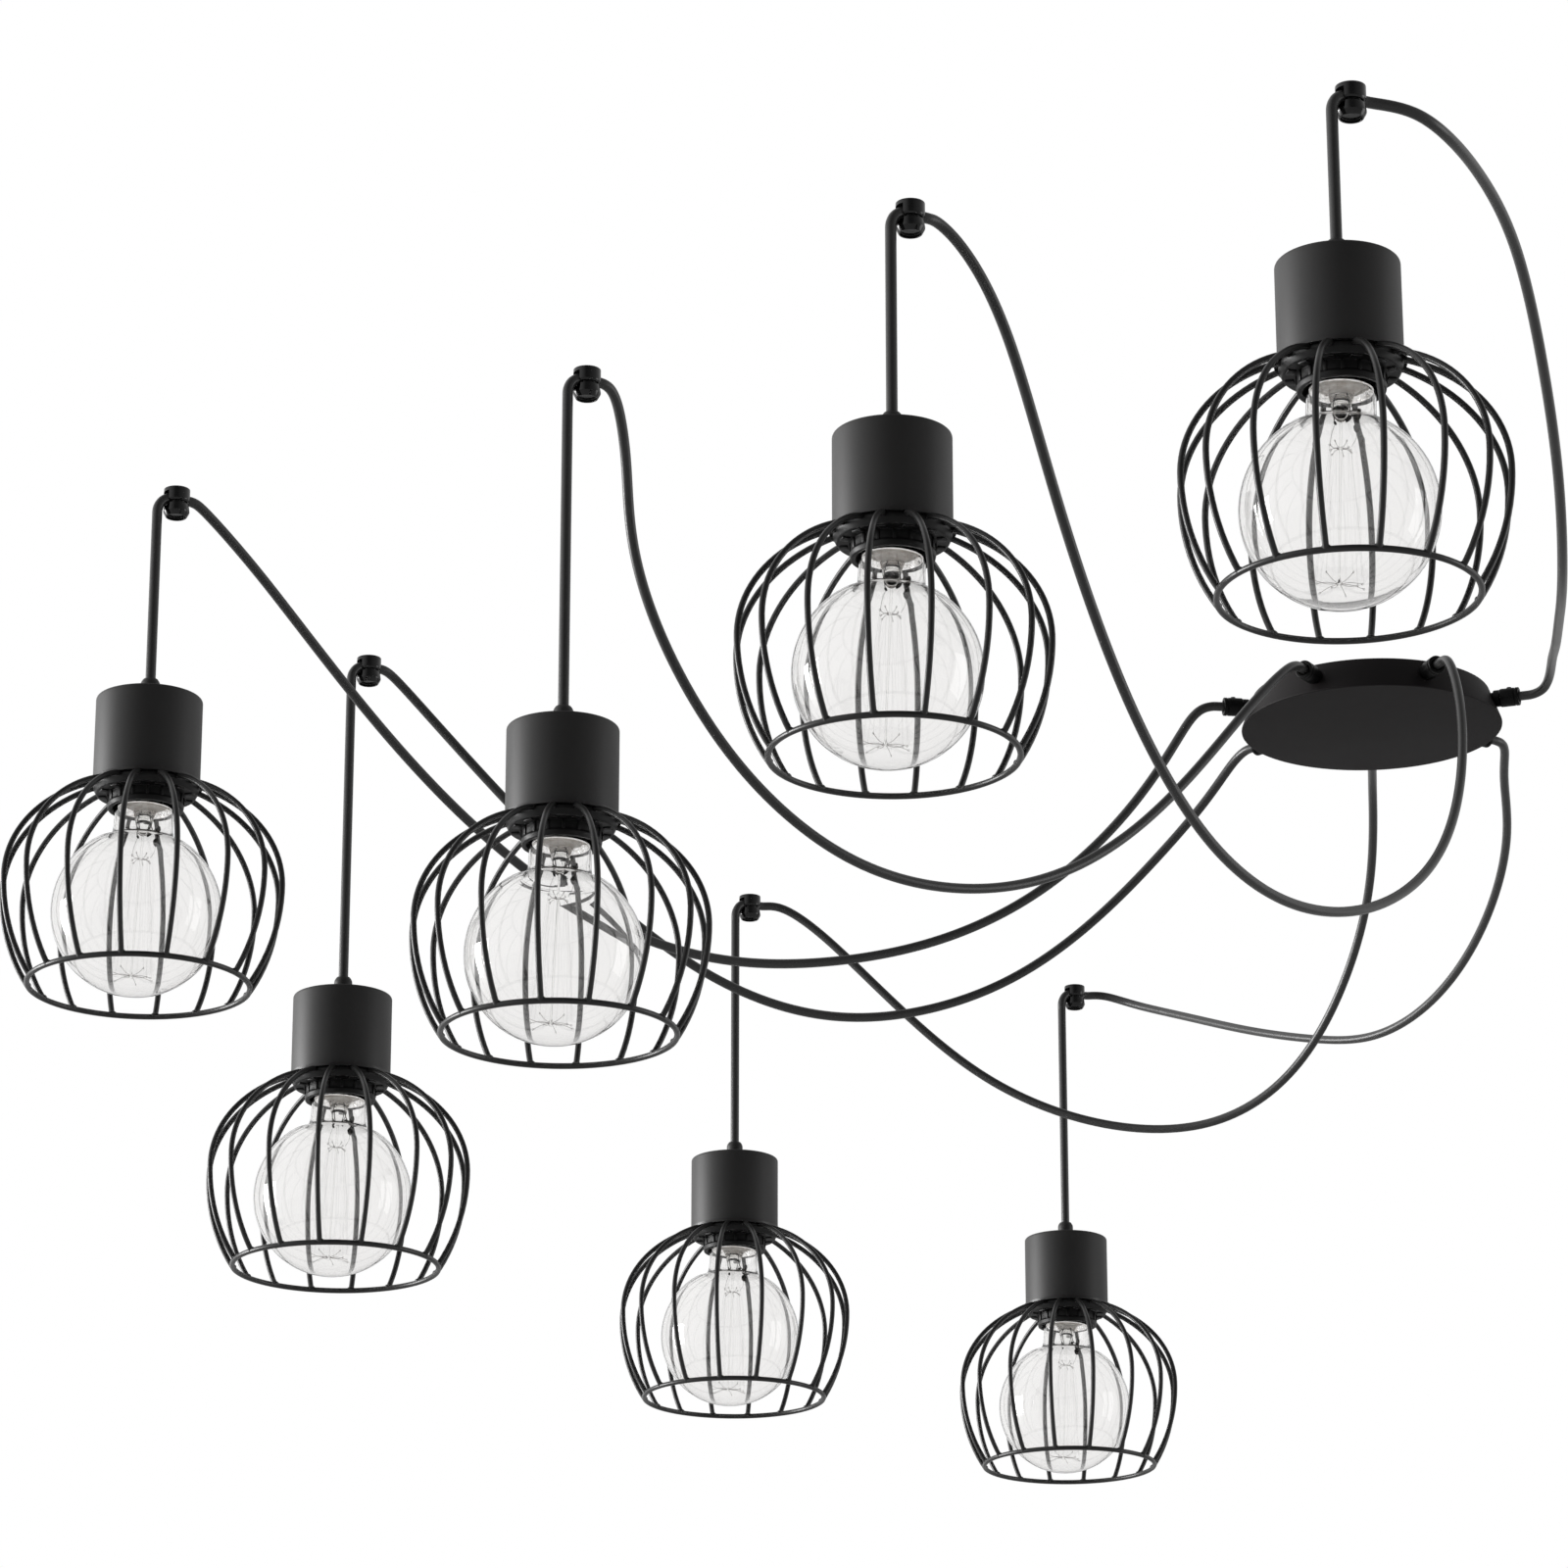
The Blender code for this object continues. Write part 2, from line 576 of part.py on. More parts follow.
def earth_screw_mesh(cutters):
    head_top = -BRACKET_THICKNESS - SEAT_GAP
    head_low = head_top - EARTH_HEAD_HEIGHT
    outline = [
        (0.0, -BRACKET_THICKNESS / 2),
        (EARTH_SHANK_RADIUS, -BRACKET_THICKNESS / 2),
        (EARTH_SHANK_RADIUS, head_top),
        (EARTH_HEAD_RADIUS, head_top),
        (EARTH_HEAD_RADIUS, head_low + EARTH_HEAD_HEIGHT / 3),
        (EARTH_HEAD_RADIUS - EARTH_HEAD_HEIGHT / 3, head_low),
        (0.0, head_low),
    ]
    return finished_mesh(turned("earth_blank", outline, GRIP_SIDES, cutters), "earth_screw")


def ceiling_hook_mesh(cutters):
    """Hook with its slot along X over the clamping knob, which the cable leaves through a groove."""
    knob_top = -KNOB_TOP_DEPTH
    knob_low = knob_top - HOOK_KNOB_HEIGHT
    outline = [
        (0.0, 0.0),
        (HOOK_RADIUS, 0.0),
        (HOOK_RADIUS, knob_top),
        (HOOK_KNOB_RADIUS, knob_top),
        (HOOK_KNOB_RADIUS, knob_low + HOOK_KNOB_ROUNDING),
        (HOOK_KNOB_RADIUS - HOOK_KNOB_ROUNDING, knob_low),
        (HOOK_DISH_RADIUS, knob_low),
        (0.0, knob_low + HOOK_DISH_DEPTH),
    ]
    hook = turned("hook_blank", outline, HOOK_SIDES, cutters)
    half_width = CABLE_RADIUS + SEAT_GAP
    reach = HOOK_RADIUS + CUT_OVERRUN
    low = Vector((-reach, -half_width, knob_top))
    high = Vector((reach, half_width, -SLOT_CEILING))
    combine(hook, box("slot_cut", low, high, cutters), "DIFFERENCE")
    low = Vector((CABLE_BEND_START, -half_width, knob_top - GROOVE_DEPTH))
    high = Vector((reach, half_width, knob_top / 2))
    combine(hook, box("groove_cut", low, high, cutters), "DIFFERENCE")
    return finished_mesh(hook, "ceiling_hook")


def holder_cover_mesh(cutters):
    """Cup open at the bottom, z = 0 at its lower edge, with the cable nipple on top."""
    top = COVER_HEIGHT
    inner_top = top - COVER_WALL
    outline = [
        (0.0, top + NIPPLE_HEIGHT),
        (NIPPLE_TIP_RADIUS, top + NIPPLE_HEIGHT),
        (NIPPLE_RADIUS, top + NIPPLE_HEIGHT - NIPPLE_DOME),
        (NIPPLE_RADIUS, top),
        (COVER_RADIUS - COVER_ROUNDING, top),
        (COVER_RADIUS, top - COVER_ROUNDING),
        (COVER_RADIUS, 0.0),
        (COVER_RADIUS - COVER_WALL, 0.0),
        (COVER_RADIUS - COVER_WALL, inner_top),
        (0.0, inner_top),
    ]
    return finished_mesh(turned("cover_blank", outline, TURNED_SIDES, cutters), "holder_cover")


def lamp_holder_mesh(cutters):
    """Screw-base lamp holder hung from the cover's top, with the shade ring that clamps the cage."""
    stud_top = COVER_HEIGHT - COVER_WALL - SEAT_GAP
    ring_top = -SEAT_GAP * 2 - CAGE_PLATE_THICKNESS
    outline = [
        (0.0, stud_top),
        (HOLDER_STUD_RADIUS, stud_top),
        (HOLDER_RADIUS, stud_top - HOLDER_SHOULDER),
        (HOLDER_RADIUS, ring_top),
        (RING_RADIUS, ring_top),
        (RING_RADIUS, -RING_LOWER_DEPTH),
        (LIP_RADIUS, -RING_LOWER_DEPTH),
        (LIP_RADIUS, -LIP_DEPTH),
        (LIP_MOUTH_RADIUS, -LIP_DEPTH),
        (HOLDER_BORE_RADIUS, -HOLDER_BORE_START),
        (HOLDER_BORE_RADIUS, HOLDER_BORE_TOP),
        (0.0, HOLDER_BORE_TOP),
    ]
    return finished_mesh(turned("holder_blank", outline, TURNED_SIDES, cutters), "lamp_holder")


def rib_stations():
    """Cross-sections of one rib as pairs of (radius, height): its outer and its inner edge."""
    half = WIRE_RADIUS * WIRE_SECTION_SHARE
    top_depth = SEAT_GAP + CAGE_PLATE_THICKNESS / 2
    ring_depth = CAGE_HEIGHT - half * 2
    top_angle = math.acos(CAGE_PLATE_RADIUS / CAGE_BELLY_RADIUS)
    ring_angle = -math.acos(CAGE_RING_RADIUS / CAGE_BELLY_RADIUS)
    upper_height = (CAGE_BELLY_DEPTH - top_depth) / math.sin(top_angle)
    lower_height = (ring_depth - CAGE_BELLY_DEPTH) / -math.sin(ring_angle)
    stations = [((CAGE_PLATE_RADIUS, -SEAT_GAP), (CAGE_PLATE_RADIUS, -SEAT_GAP - CAGE_PLATE_THICKNESS))]
    for step in range(1, RIB_STEPS):
        angle = top_angle + (ring_angle - top_angle) * step / RIB_STEPS
        height = upper_height if angle > 0.0 else lower_height
        normal = Vector((math.cos(angle) / CAGE_BELLY_RADIUS, math.sin(angle) / height)).normalized() * half
        centre = Vector((CAGE_BELLY_RADIUS * math.cos(angle), height * math.sin(angle) - CAGE_BELLY_DEPTH))
        stations.append((tuple(centre + normal), tuple(centre - normal)))
    stations.append(((CAGE_RING_RADIUS + half, -ring_depth), (CAGE_RING_RADIUS - half, -ring_depth)))
    return stations


def cage_circle(shape, radius, height):
    """Two corners for each rib, all round the cage, a wire's width apart."""
    half = WIRE_RADIUS * WIRE_SECTION_SHARE
    corners = []
    for index in range(RIB_COUNT):
        turn = Matrix.Rotation((index + 0.5) * math.tau / RIB_COUNT, 4, "Z")
        for side in (-half, half):
            corners.append(shape.verts.new(turn @ Vector((radius, side, height))))
    return corners


def band(shape, first, second, narrow=True, wide=True):
    """Faces between two circles: narrow ones across a rib's width, wide ones between ribs."""
    for index in range(len(first)):
        after = (index + 1) % len(first)
        if (index % 2 == 0 and narrow) or (index % 2 == 1 and wide):
            shape.faces.new((first[index], first[after], second[after], second[index]))


def wire_cage_mesh():
    """Welded cage in one body: top plate, curved ribs and bottom ring, z = 0 at the cover's edge."""
    shape = bmesh.new()
    half = WIRE_RADIUS * WIRE_SECTION_SHARE
    inner = hole_radius(HOLDER_RADIUS, RIB_COUNT * 2)
    plate_bottom = -SEAT_GAP - CAGE_PLATE_THICKNESS
    sections = []
    for outer_edge, inner_edge in rib_stations():
        sections.append((cage_circle(shape, *outer_edge), cage_circle(shape, *inner_edge)))
    for (outer_a, inner_a), (outer_b, inner_b) in zip(sections, sections[1:]):
        band(shape, outer_a, outer_b, wide=False)
        band(shape, inner_a, inner_b, wide=False)
        for corner in range(len(outer_a)):
            shape.faces.new((outer_a[corner], inner_a[corner], inner_b[corner], outer_b[corner]))
    plate_upper, plate_lower = sections[0]
    hole_upper = cage_circle(shape, inner, -SEAT_GAP)
    hole_lower = cage_circle(shape, inner, plate_bottom)
    band(shape, plate_upper, hole_upper)
    band(shape, hole_upper, hole_lower)
    band(shape, hole_lower, plate_lower)
    band(shape, plate_lower, plate_upper, narrow=False)
    ring_outer, ring_inner = sections[-1]
    foot_outer = cage_circle(shape, CAGE_RING_RADIUS + half, -CAGE_HEIGHT)
    foot_inner = cage_circle(shape, CAGE_RING_RADIUS - half, -CAGE_HEIGHT)
    band(shape, ring_outer, foot_outer)
    band(shape, foot_outer, foot_inner)
    band(shape, foot_inner, ring_inner)
    band(shape, ring_inner, ring_outer, narrow=False)
    bmesh.ops.recalc_face_normals(shape, faces=shape.faces)
    mesh = bpy.data.meshes.new("wire_cage")
    shape.to_mesh(mesh)
    shape.free()
    mesh.shade_smooth()
    mesh.set_sharp_from_angle(angle=SHARP_ANGLE)
    return mesh


def bulb_mesh(cutters):
    """Globe bulb with its screw cap inside the holder."""
    cap_top = HOLDER_BORE_TOP - SEAT_GAP
    outline = [
        (0.0, cap_top),
        (BULB_CAP_RADIUS, cap_top),
        (BULB_CAP_RADIUS, -BULB_CAP_LOWER_DEPTH),
        (BULB_NECK_RADIUS, -BULB_NECK_DEPTH),
        (BULB_NECK_RADIUS, -BULB_NECK_DEPTH - BULB_NECK_LENGTH),
    ]
    for step in range(BULB_ARC_STEPS + 1):
        angle = BULB_ARC_START + (math.pi - BULB_ARC_START) * step / BULB_ARC_STEPS
        outline.append((BULB_RADIUS * math.sin(angle), BULB_RADIUS * math.cos(angle) - BULB_CENTRE_DEPTH))
    outline[-1] = (0.0, -BULB_RADIUS - BULB_CENTRE_DEPTH)
    return finished_mesh(turned("bulb_blank", outline, TURNED_SIDES, cutters), "globe_bulb")


def cable_drop(name, length, collection):
    """Straight cable from the swing pivot at its own origin down to the nipple, with a domed top."""
    points = []
    shares = []
    for step in range(DOME_STEPS):
        angle = math.pi / 2 * step / DOME_STEPS
        points.append((0.0, 0.0, CABLE_RADIUS * math.cos(angle)))
        shares.append(max(math.sin(angle), DOME_TIP_SHARE))
    points.append((0.0, 0.0, 0.0))
    shares.append(1.0)
    points.append((0.0, 0.0, -length))
    shares.append(1.0)
    return wire(name, points, CABLE_RADIUS, 2, collection, radius_shares=shares)


def build():
    clear_scene()
    parts = new_collection("chandelier")
    cutters = new_collection("cutters")

    matt_black = material("matt_black_paint", (0.021, 0.020, 0.020), 0.55)
    black_plastic = material("black_plastic", (0.012, 0.012, 0.012), 0.35)
    cable_black = material("cable_sheath", (0.035, 0.035, 0.036), 0.50)
    zinc = material("zinc_steel", (0.55, 0.56, 0.58), 0.40, 1.0)
    brass = material("brass", (0.60, 0.43, 0.17), 0.35, 1.0)
    terminal_white = material("terminal_plastic", (0.75, 0.74, 0.70), 0.45)
    clear_glass = glass_material("clear_glass")

    place("canopy_cover", canopy_cover_mesh(cutters), parts, matt_black)
    place("mounting_bracket", mounting_bracket_mesh(cutters), parts, zinc, turn=BRACKET_TURN)
    place("terminal_block", terminal_block_mesh(cutters), parts, terminal_white, turn=BRACKET_TURN)
    earth_place = Matrix.Rotation(BRACKET_TURN, 4, "Z") @ Vector((EARTH_OFFSET, 0.0, 0.0))
    place("earth_screw", earth_screw_mesh(cutters), parts, brass, earth_place)

    grip = cable_grip_mesh(cutters)
    hook = ceiling_hook_mesh(cutters)
    cover = holder_cover_mesh(cutters)
    holder = lamp_holder_mesh(cutters)
    cage = wire_cage_mesh()
    bulb = bulb_mesh(cutters)

    for index in range(PENDANT_COUNT):
        number = index + 1
        place(f"cable_grip_{number}", grip, parts, black_plastic, turn=grip_angle(index))
        place(f"ceiling_hook_{number}", hook, parts, black_plastic, hook_place(index), SLOT_ANGLE)
        swag = wire(f"cable_swag_{number}", swag_line(index), CABLE_RADIUS, 2, parts)
        swag.data.materials.append(cable_black)

        pivot = Vector((0.0, 0.0, -PIVOT_DEPTH))
        hang = hook_place(index) + SLOT_DIRECTION * (CABLE_BEND_START + CABLE_BEND) + pivot
        swing = pivot_empty(f"swing_pivot_{number}", hang, parts)
        cover_depth = LONGEST_DROP * DROP_SHARES[index]
        length = cover_depth - NIPPLE_HEIGHT - SEAT_GAP - PIVOT_DEPTH
        drop = cable_drop(f"cable_drop_{number}", length, parts)
        drop.data.materials.append(cable_black)
        drop.parent = swing

        cover_edge = PIVOT_DEPTH - cover_depth - COVER_HEIGHT
        swivel = pivot_empty(f"swivel_axis_{number}", (0.0, 0.0, cover_edge), parts, swing)
        swivel.rotation_euler.z = PENDANT_TURNS[index]
        place(f"holder_cover_{number}", cover, parts, matt_black, parent=swivel)
        place(f"lamp_holder_{number}", holder, parts, black_plastic, parent=swivel)
        place(f"wire_cage_{number}", cage, parts, matt_black, parent=swivel)
        place(f"globe_bulb_{number}", bulb, parts, clear_glass, parent=swivel)

    for cutter in list(cutters.objects):
        bpy.data.objects.remove(cutter, do_unlink=True)
    bpy.data.collections.remove(cutters)


build()
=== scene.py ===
# %% [markdown]
# # Seven-pendant ceiling chandelier: the looks
#
# The imported part is loaded as a fixed frame: one object for each named CAD node, with its place moved
# into its mesh. This script gives every visible piece its final form and finish. A CAD node is never
# moved. It gets a material, or a smoother piece made here stands in its place. All sizes are in metres,
# +Z is up and the ceiling is the plane z = 0.

import math

import bmesh
import bpy
from mathutils import Matrix, Vector
from mathutils.geometry import interpolate_bezier


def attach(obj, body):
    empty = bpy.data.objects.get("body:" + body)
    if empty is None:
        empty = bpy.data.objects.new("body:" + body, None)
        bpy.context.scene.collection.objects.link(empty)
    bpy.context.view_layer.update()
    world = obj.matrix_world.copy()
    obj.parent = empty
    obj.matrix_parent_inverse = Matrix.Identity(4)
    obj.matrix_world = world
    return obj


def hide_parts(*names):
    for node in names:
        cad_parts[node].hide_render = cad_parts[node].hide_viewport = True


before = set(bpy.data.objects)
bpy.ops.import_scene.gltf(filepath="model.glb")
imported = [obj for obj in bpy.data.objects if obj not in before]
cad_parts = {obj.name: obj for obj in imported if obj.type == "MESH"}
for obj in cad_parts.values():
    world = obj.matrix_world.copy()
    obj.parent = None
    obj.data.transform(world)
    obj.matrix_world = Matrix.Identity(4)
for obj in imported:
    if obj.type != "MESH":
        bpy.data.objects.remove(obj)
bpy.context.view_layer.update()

# %% [markdown]
# ## Camera
#
# The photograph looks up at the ceiling from below and in front, a little to the left of the middle. A
# camera could be placed by eye, but here its place, pitch and focal length were worked out from the seven
# hooks, the canopy and the pendants' edges, so that each lands near its place in the photograph. The
# focal length is kept in pixels, as it was measured, and turned into a lens for a sensor of 36 mm.

# %% Camera at the photograph's angle
IMAGE_SIDE = 1600
FOCAL_PIXELS = 5565.9
SENSOR_WIDTH = 36.0
CAMERA_PLACE = Vector((-0.3723, -3.2618, -1.1607))
CAMERA_PITCH = math.radians(18.689)
CAMERA_REACH = 60.0

camera_data = bpy.data.cameras.new("camera")
camera_data.sensor_width = SENSOR_WIDTH
camera_data.lens = FOCAL_PIXELS / IMAGE_SIDE * SENSOR_WIDTH
camera_data.clip_end = CAMERA_REACH
camera = bpy.data.objects.new("camera", camera_data)
camera.location = CAMERA_PLACE
camera.rotation_euler = (math.pi / 2 + CAMERA_PITCH, 0.0, 0.0)
bpy.context.scene.collection.objects.link(camera)
bpy.context.scene.camera = camera
print(f"lens {camera_data.lens:.1f} mm, pitched up {math.degrees(CAMERA_PITCH):.1f} degrees")

# %% [markdown]
# ## Where everything hangs
#
# The canopy sits at the origin. Seven hooks are spread over the ceiling to one side of it, and each
# pendant hangs from its hook. These sizes repeat the part's source, because the new pieces have to lie
# where the CAD nodes lie. Hook places are shares of one field size and drops are shares of the longest
# drop, so that the layout reads as a pattern and not as loose numbers.

# %% Sizes that several pieces share
COUNT = 7
GAP = 0.0003
MM = 0.001
DOWN = Vector((0.0, 0.0, -1.0))

CANOPY_TOP_RADIUS = 0.0750
CANOPY_FACE_RADIUS = 0.0825
CANOPY_HEIGHT = 0.0205
GRIP_FIRST_ANGLE = math.radians(-19.0)
GRIP_OUTSIDE = 0.0168
GRIP_DEPTH = 0.0095
BRACKET_TURN = GRIP_FIRST_ANGLE + math.tau / COUNT / 4

HOOK_RADIUS = 0.0075
SLOT_ANGLE = math.radians(214.0)
SLOT_WAY = Vector((math.cos(SLOT_ANGLE), math.sin(SLOT_ANGLE), 0.0))
SLOT_CEILING = 0.0022

CABLE_RADIUS = 0.0029
CABLE_BEND = 0.0110
CABLE_BEND_START = 0.0012
CABLE_LEAD = 0.0040
CABLE_AXIS = SLOT_CEILING + GAP + CABLE_RADIUS
KNOB_TOP = CABLE_AXIS + CABLE_RADIUS + GAP
PIVOT_DEPTH = CABLE_AXIS + CABLE_BEND + GAP + CABLE_RADIUS

COVER_HEIGHT = 0.0495
NIPPLE_HEIGHT = 0.0130
print(f"below the ceiling: cable {CABLE_AXIS / MM:.1f} mm, pivot {PIVOT_DEPTH / MM:.1f} mm")

# %% Places of hooks, pendants and grips
HOOK_FIELD = 0.8790
HOOK_PLACE_SHARES = [
    (-0.113, -1.000), (-0.351, -0.848), (-0.545, -0.604), (-0.819, -0.405),
    (-0.717, -0.084), (-0.451, 0.476), (-0.177, 0.730),
]
LONGEST_DROP = 0.2214
DROP_SHARES = [0.436, 0.585, 0.941, 0.588, 1.000, 0.875, 0.881]


def hook_place(index):
    """The middle of a hook's ceiling face."""
    share_x, share_y = HOOK_PLACE_SHARES[index]
    return Vector((HOOK_FIELD * share_x, HOOK_FIELD * share_y, 0.0))


def pivot_place(index):
    """Where the hanging cable starts, straight under the end of the swag's bend."""
    return hook_place(index) + SLOT_WAY * (CABLE_BEND_START + CABLE_BEND) + DOWN * PIVOT_DEPTH


def edge_place(index):
    """The middle of the cover's lower edge, the origin that each pendant is built round."""
    place = pivot_place(index)
    place.z = -LONGEST_DROP * DROP_SHARES[index] - COVER_HEIGHT
    return place


def rim_radius(depth):
    """The canopy's outer radius at a depth below the ceiling; its side leans outwards."""
    return CANOPY_TOP_RADIUS + (CANOPY_FACE_RADIUS - CANOPY_TOP_RADIUS) * depth / CANOPY_HEIGHT


def grip_angle(index):
    """The way that a grip points, measured about Z."""
    return GRIP_FIRST_ANGLE - index * math.tau / COUNT


def grip_way(index):
    """The same way as a level vector of length 1."""
    angle = grip_angle(index)
    return Vector((math.cos(angle), math.sin(angle), 0.0))


print("drops:", [round(pivot_place(k).z - edge_place(k).z - COVER_HEIGHT, 3) for k in range(COUNT)])

# %% [markdown]
# ## Shader helpers
#
# A material in Blender is a tree of nodes. Sums on its values could be wired by hand, one Math node at a
# time, but they are hard to read that way. Value wraps a socket, so that a sum is written as plain Python
# and adds its nodes itself. Any other node comes from add_node, with its settings and sockets, and Look
# holds one material. Patterns read Object coordinates, so they stay with the piece when it moves.

# %% Sums on sockets
class Value:
    """A socket of a node tree that takes part in sums."""

    def __init__(self, tree, socket):
        self.tree = tree
        self.socket = socket

    def math(self, operation, *others):
        node = self.tree.nodes.new("ShaderNodeMath")
        node.operation = operation
        for slot, value in enumerate((self, *others)):
            if isinstance(value, Value):
                self.tree.links.new(value.socket, node.inputs[slot])
            else:
                node.inputs[slot].default_value = value
        return Value(self.tree, node.outputs[0])

    def __add__(self, other):
        return self.math("ADD", other)

    def __sub__(self, other):
        return self.math("SUBTRACT", other)

    def __mul__(self, other):
        return self.math("MULTIPLY", other)

    def __rsub__(self, other):
        return (self * -1.0).math("ADD", other)

    __radd__ = __add__
    __rmul__ = __mul__

    def ramp(self, low, high):
        """0 at low, 1 at high, held outside."""
        return ((self - low) * (1.0 / (high - low))).math("MAXIMUM", 0.0).math("MINIMUM", 1.0)

# %% Any other node
def feed(tree, socket, value):
    """Link a Value to a socket, or write a number, colour or vector into it."""
    if isinstance(value, Value):
        tree.links.new(value.socket, socket)
    else:
        socket.default_value = value


def add_node(tree, kind, **values):
    """A node with its settings and the values or links of its sockets."""
    node = tree.nodes.new(kind)
    for key, value in values.items():
        target = key.replace("_", " ").title()
        if target in node.inputs:
            feed(tree, node.inputs[target], value)
        else:
            setattr(node, key, value)
    return node

# %% One material and its nodes
NOISE_ROUGHNESS = 0.55


class Look:
    """One material: its Principled shader and short calls for the nodes that feed it."""

    def __init__(self, name, colour, roughness, metallic=0.0):
        self.material = bpy.data.materials.new(name)
        self.material.use_nodes = True
        self.tree = self.material.node_tree
        self.shader = self.tree.nodes["Principled BSDF"]
        self.shader.inputs["Base Color"].default_value = (*colour, 1.0)
        self.shader.inputs["Roughness"].default_value = roughness
        self.shader.inputs["Metallic"].default_value = metallic
        print("material", name)

    def node(self, kind, **values):
        return add_node(self.tree, kind, **values)

    def coords(self):
        node = self.node("ShaderNodeTexCoord")
        return Value(self.tree, node.outputs["Object"])

    def noise(self, scale, detail=3.0, stretch=None):
        vector = self.coords()
        if stretch:
            mapping = self.node("ShaderNodeMapping", vector=vector)
            mapping.inputs["Scale"].default_value = stretch
            vector = Value(self.tree, mapping.outputs[0])
        node = self.node(
            "ShaderNodeTexNoise", vector=vector, scale=scale, detail=detail, roughness=NOISE_ROUGHNESS,
        )
        return Value(self.tree, node.outputs["Fac"])

    def blend(self, factor, first, second):
        node = self.node("ShaderNodeMix", data_type="RGBA", factor=factor)
        # The colours of a Mix node are its inputs 6 and 7 and its output 2.
        node.inputs[6].default_value = (*first, 1.0)
        node.inputs[7].default_value = (*second, 1.0)
        return Value(self.tree, node.outputs[2])

    def bump(self, height, strength, distance):
        node = self.node("ShaderNodeBump", height=height, strength=strength, distance=distance)
        self.tree.links.new(node.outputs[0], self.shader.inputs["Normal"])

    def set(self, socket, value):
        feed(self.tree, self.shader.inputs[socket], value)

# %% [markdown]
# ## Mesh helpers
#
# Most of this lamp is turned or pressed round an axis, or bent from wire. So two helpers make nearly all
# of it: lathe spins a profile about Z, and tube carries a ring of points along a line, which no single
# mesh operator does. A profile's corners are rounded before the spin, because real edges are never sharp
# and the small radius is what catches the light. Sizes of such radii are given in millimetres.

# %% Finish and spin
MERGE_DISTANCE = 0.000002
LARGE_STEPS = 96
SMALL_STEPS = 64


def mm(points):
    """Profile points that are given in millimetres."""
    return [(radius * MM, height * MM) for radius, height in points]


def finish_mesh(shape, name, sharp=40.0):
    """Turn the bmesh into a smooth mesh that keeps edges above the sharp angle."""
    bmesh.ops.recalc_face_normals(shape, faces=shape.faces)
    mesh = bpy.data.meshes.new(name)
    shape.to_mesh(mesh)
    shape.free()
    mesh.shade_smooth()
    mesh.set_sharp_from_angle(angle=math.radians(sharp))
    print(f"{name}: {len(mesh.polygons)} faces")
    return mesh


def lathe(profile, steps, closed=False, shape=None):
    """Turn a profile of (radius, height) about Z with a merged full spin."""
    shape = shape or bmesh.new()
    verts = [shape.verts.new((radius, 0.0, height)) for radius, height in profile]
    pairs = list(zip(verts, verts[1:]))
    if closed:
        pairs.append((verts[-1], verts[0]))
    edges = [shape.edges.new(pair) for pair in pairs]
    bmesh.ops.spin(
        shape, geom=verts + edges, cent=(0.0, 0.0, 0.0), axis=(0.0, 0.0, 1.0),
        angle=math.tau, steps=steps, use_merge=True,
    )
    bmesh.ops.remove_doubles(shape, verts=shape.verts, dist=MERGE_DISTANCE)
    return shape

# %% Round a profile's corners
CORNER_LIMIT = 0.49


def rounded(points, sizes, steps=4):
    """The profile with its inner corners rounded, each by its own size in millimetres."""
    result = [points[0]]
    for index in range(1, len(points) - 1):
        before, here, after = (Vector(points[index + way]) for way in (-1, 0, 1))
        limits = ((before - here).length * CORNER_LIMIT, (after - here).length * CORNER_LIMIT)
        reach = min(sizes[index - 1] * MM, *limits)
        start = here + (before - here).normalized() * reach
        end = here + (after - here).normalized() * reach
        for step in range(steps + 1):
            share = step / steps
            point = start * (1 - share) ** 2 + here * 2 * share * (1 - share) + end * share ** 2
            result.append(tuple(point))
    result.append(points[-1])
    return result

# %% Lines and wires
def smooth_line(points, steps):
    """A smooth line through all points but the first and the last, which only steer its ends."""
    line = [points[1]]
    for before, start, end, after in zip(points, points[1:], points[2:], points[3:]):
        reach = (end - start).length / 3
        start_way = (end - before).normalized() * reach
        end_way = (after - start).normalized() * reach
        line.extend(interpolate_bezier(start, start + start_way, end - end_way, end, steps + 1)[1:])
    return line


def tube(shape, points, radius, sides, closed=False):
    """A round wire along points, with a frame carried along it so that it doesn't twist."""
    count = len(points)
    radii = radius if isinstance(radius, (list, tuple)) else [radius] * count
    ways = []
    for index in range(count):
        before = points[index - 1] if closed or index else points[0]
        after = points[(index + 1) % count] if closed or index < count - 1 else points[-1]
        ways.append((after - before).normalized())
    side = ways[0].orthogonal().normalized()
    rings = []
    for index in range(count):
        if index:
            side = ways[index - 1].rotation_difference(ways[index]) @ side
        other = ways[index].cross(side)
        ring = []
        for step in range(sides):
            angle = math.tau * step / sides
            offset = side * math.cos(angle) + other * math.sin(angle)
            ring.append(shape.verts.new(points[index] + offset * radii[index]))
        rings.append(ring)
    pairs = list(zip(rings, rings[1:]))
    if closed:
        pairs.append((rings[-1], rings[0]))
    for first, second in pairs:
        for step in range(sides):
            after = (step + 1) % sides
            shape.faces.new((first[step], first[after], second[after], second[step]))
    if not closed:
        shape.faces.new(list(reversed(rings[0])))
        shape.faces.new(rings[-1])
    return shape

# %% Small boxes and cuts
def add_box(shape, centre, size, turn=0.0, bevel=0.0):
    """A small box with rounded edges, turned about Z."""
    matrix = Matrix.Rotation(turn, 4, "Z") @ Matrix.Translation(centre) @ Matrix.Diagonal((*size, 1.0))
    made = bmesh.ops.create_cube(shape, size=1.0, matrix=matrix)
    if bevel:
        edges = list({edge for vert in made["verts"] for edge in vert.link_edges})
        bmesh.ops.bevel(
            shape, geom=edges, offset=bevel, segments=2, profile=0.5, affect="EDGES", material=-1,
        )


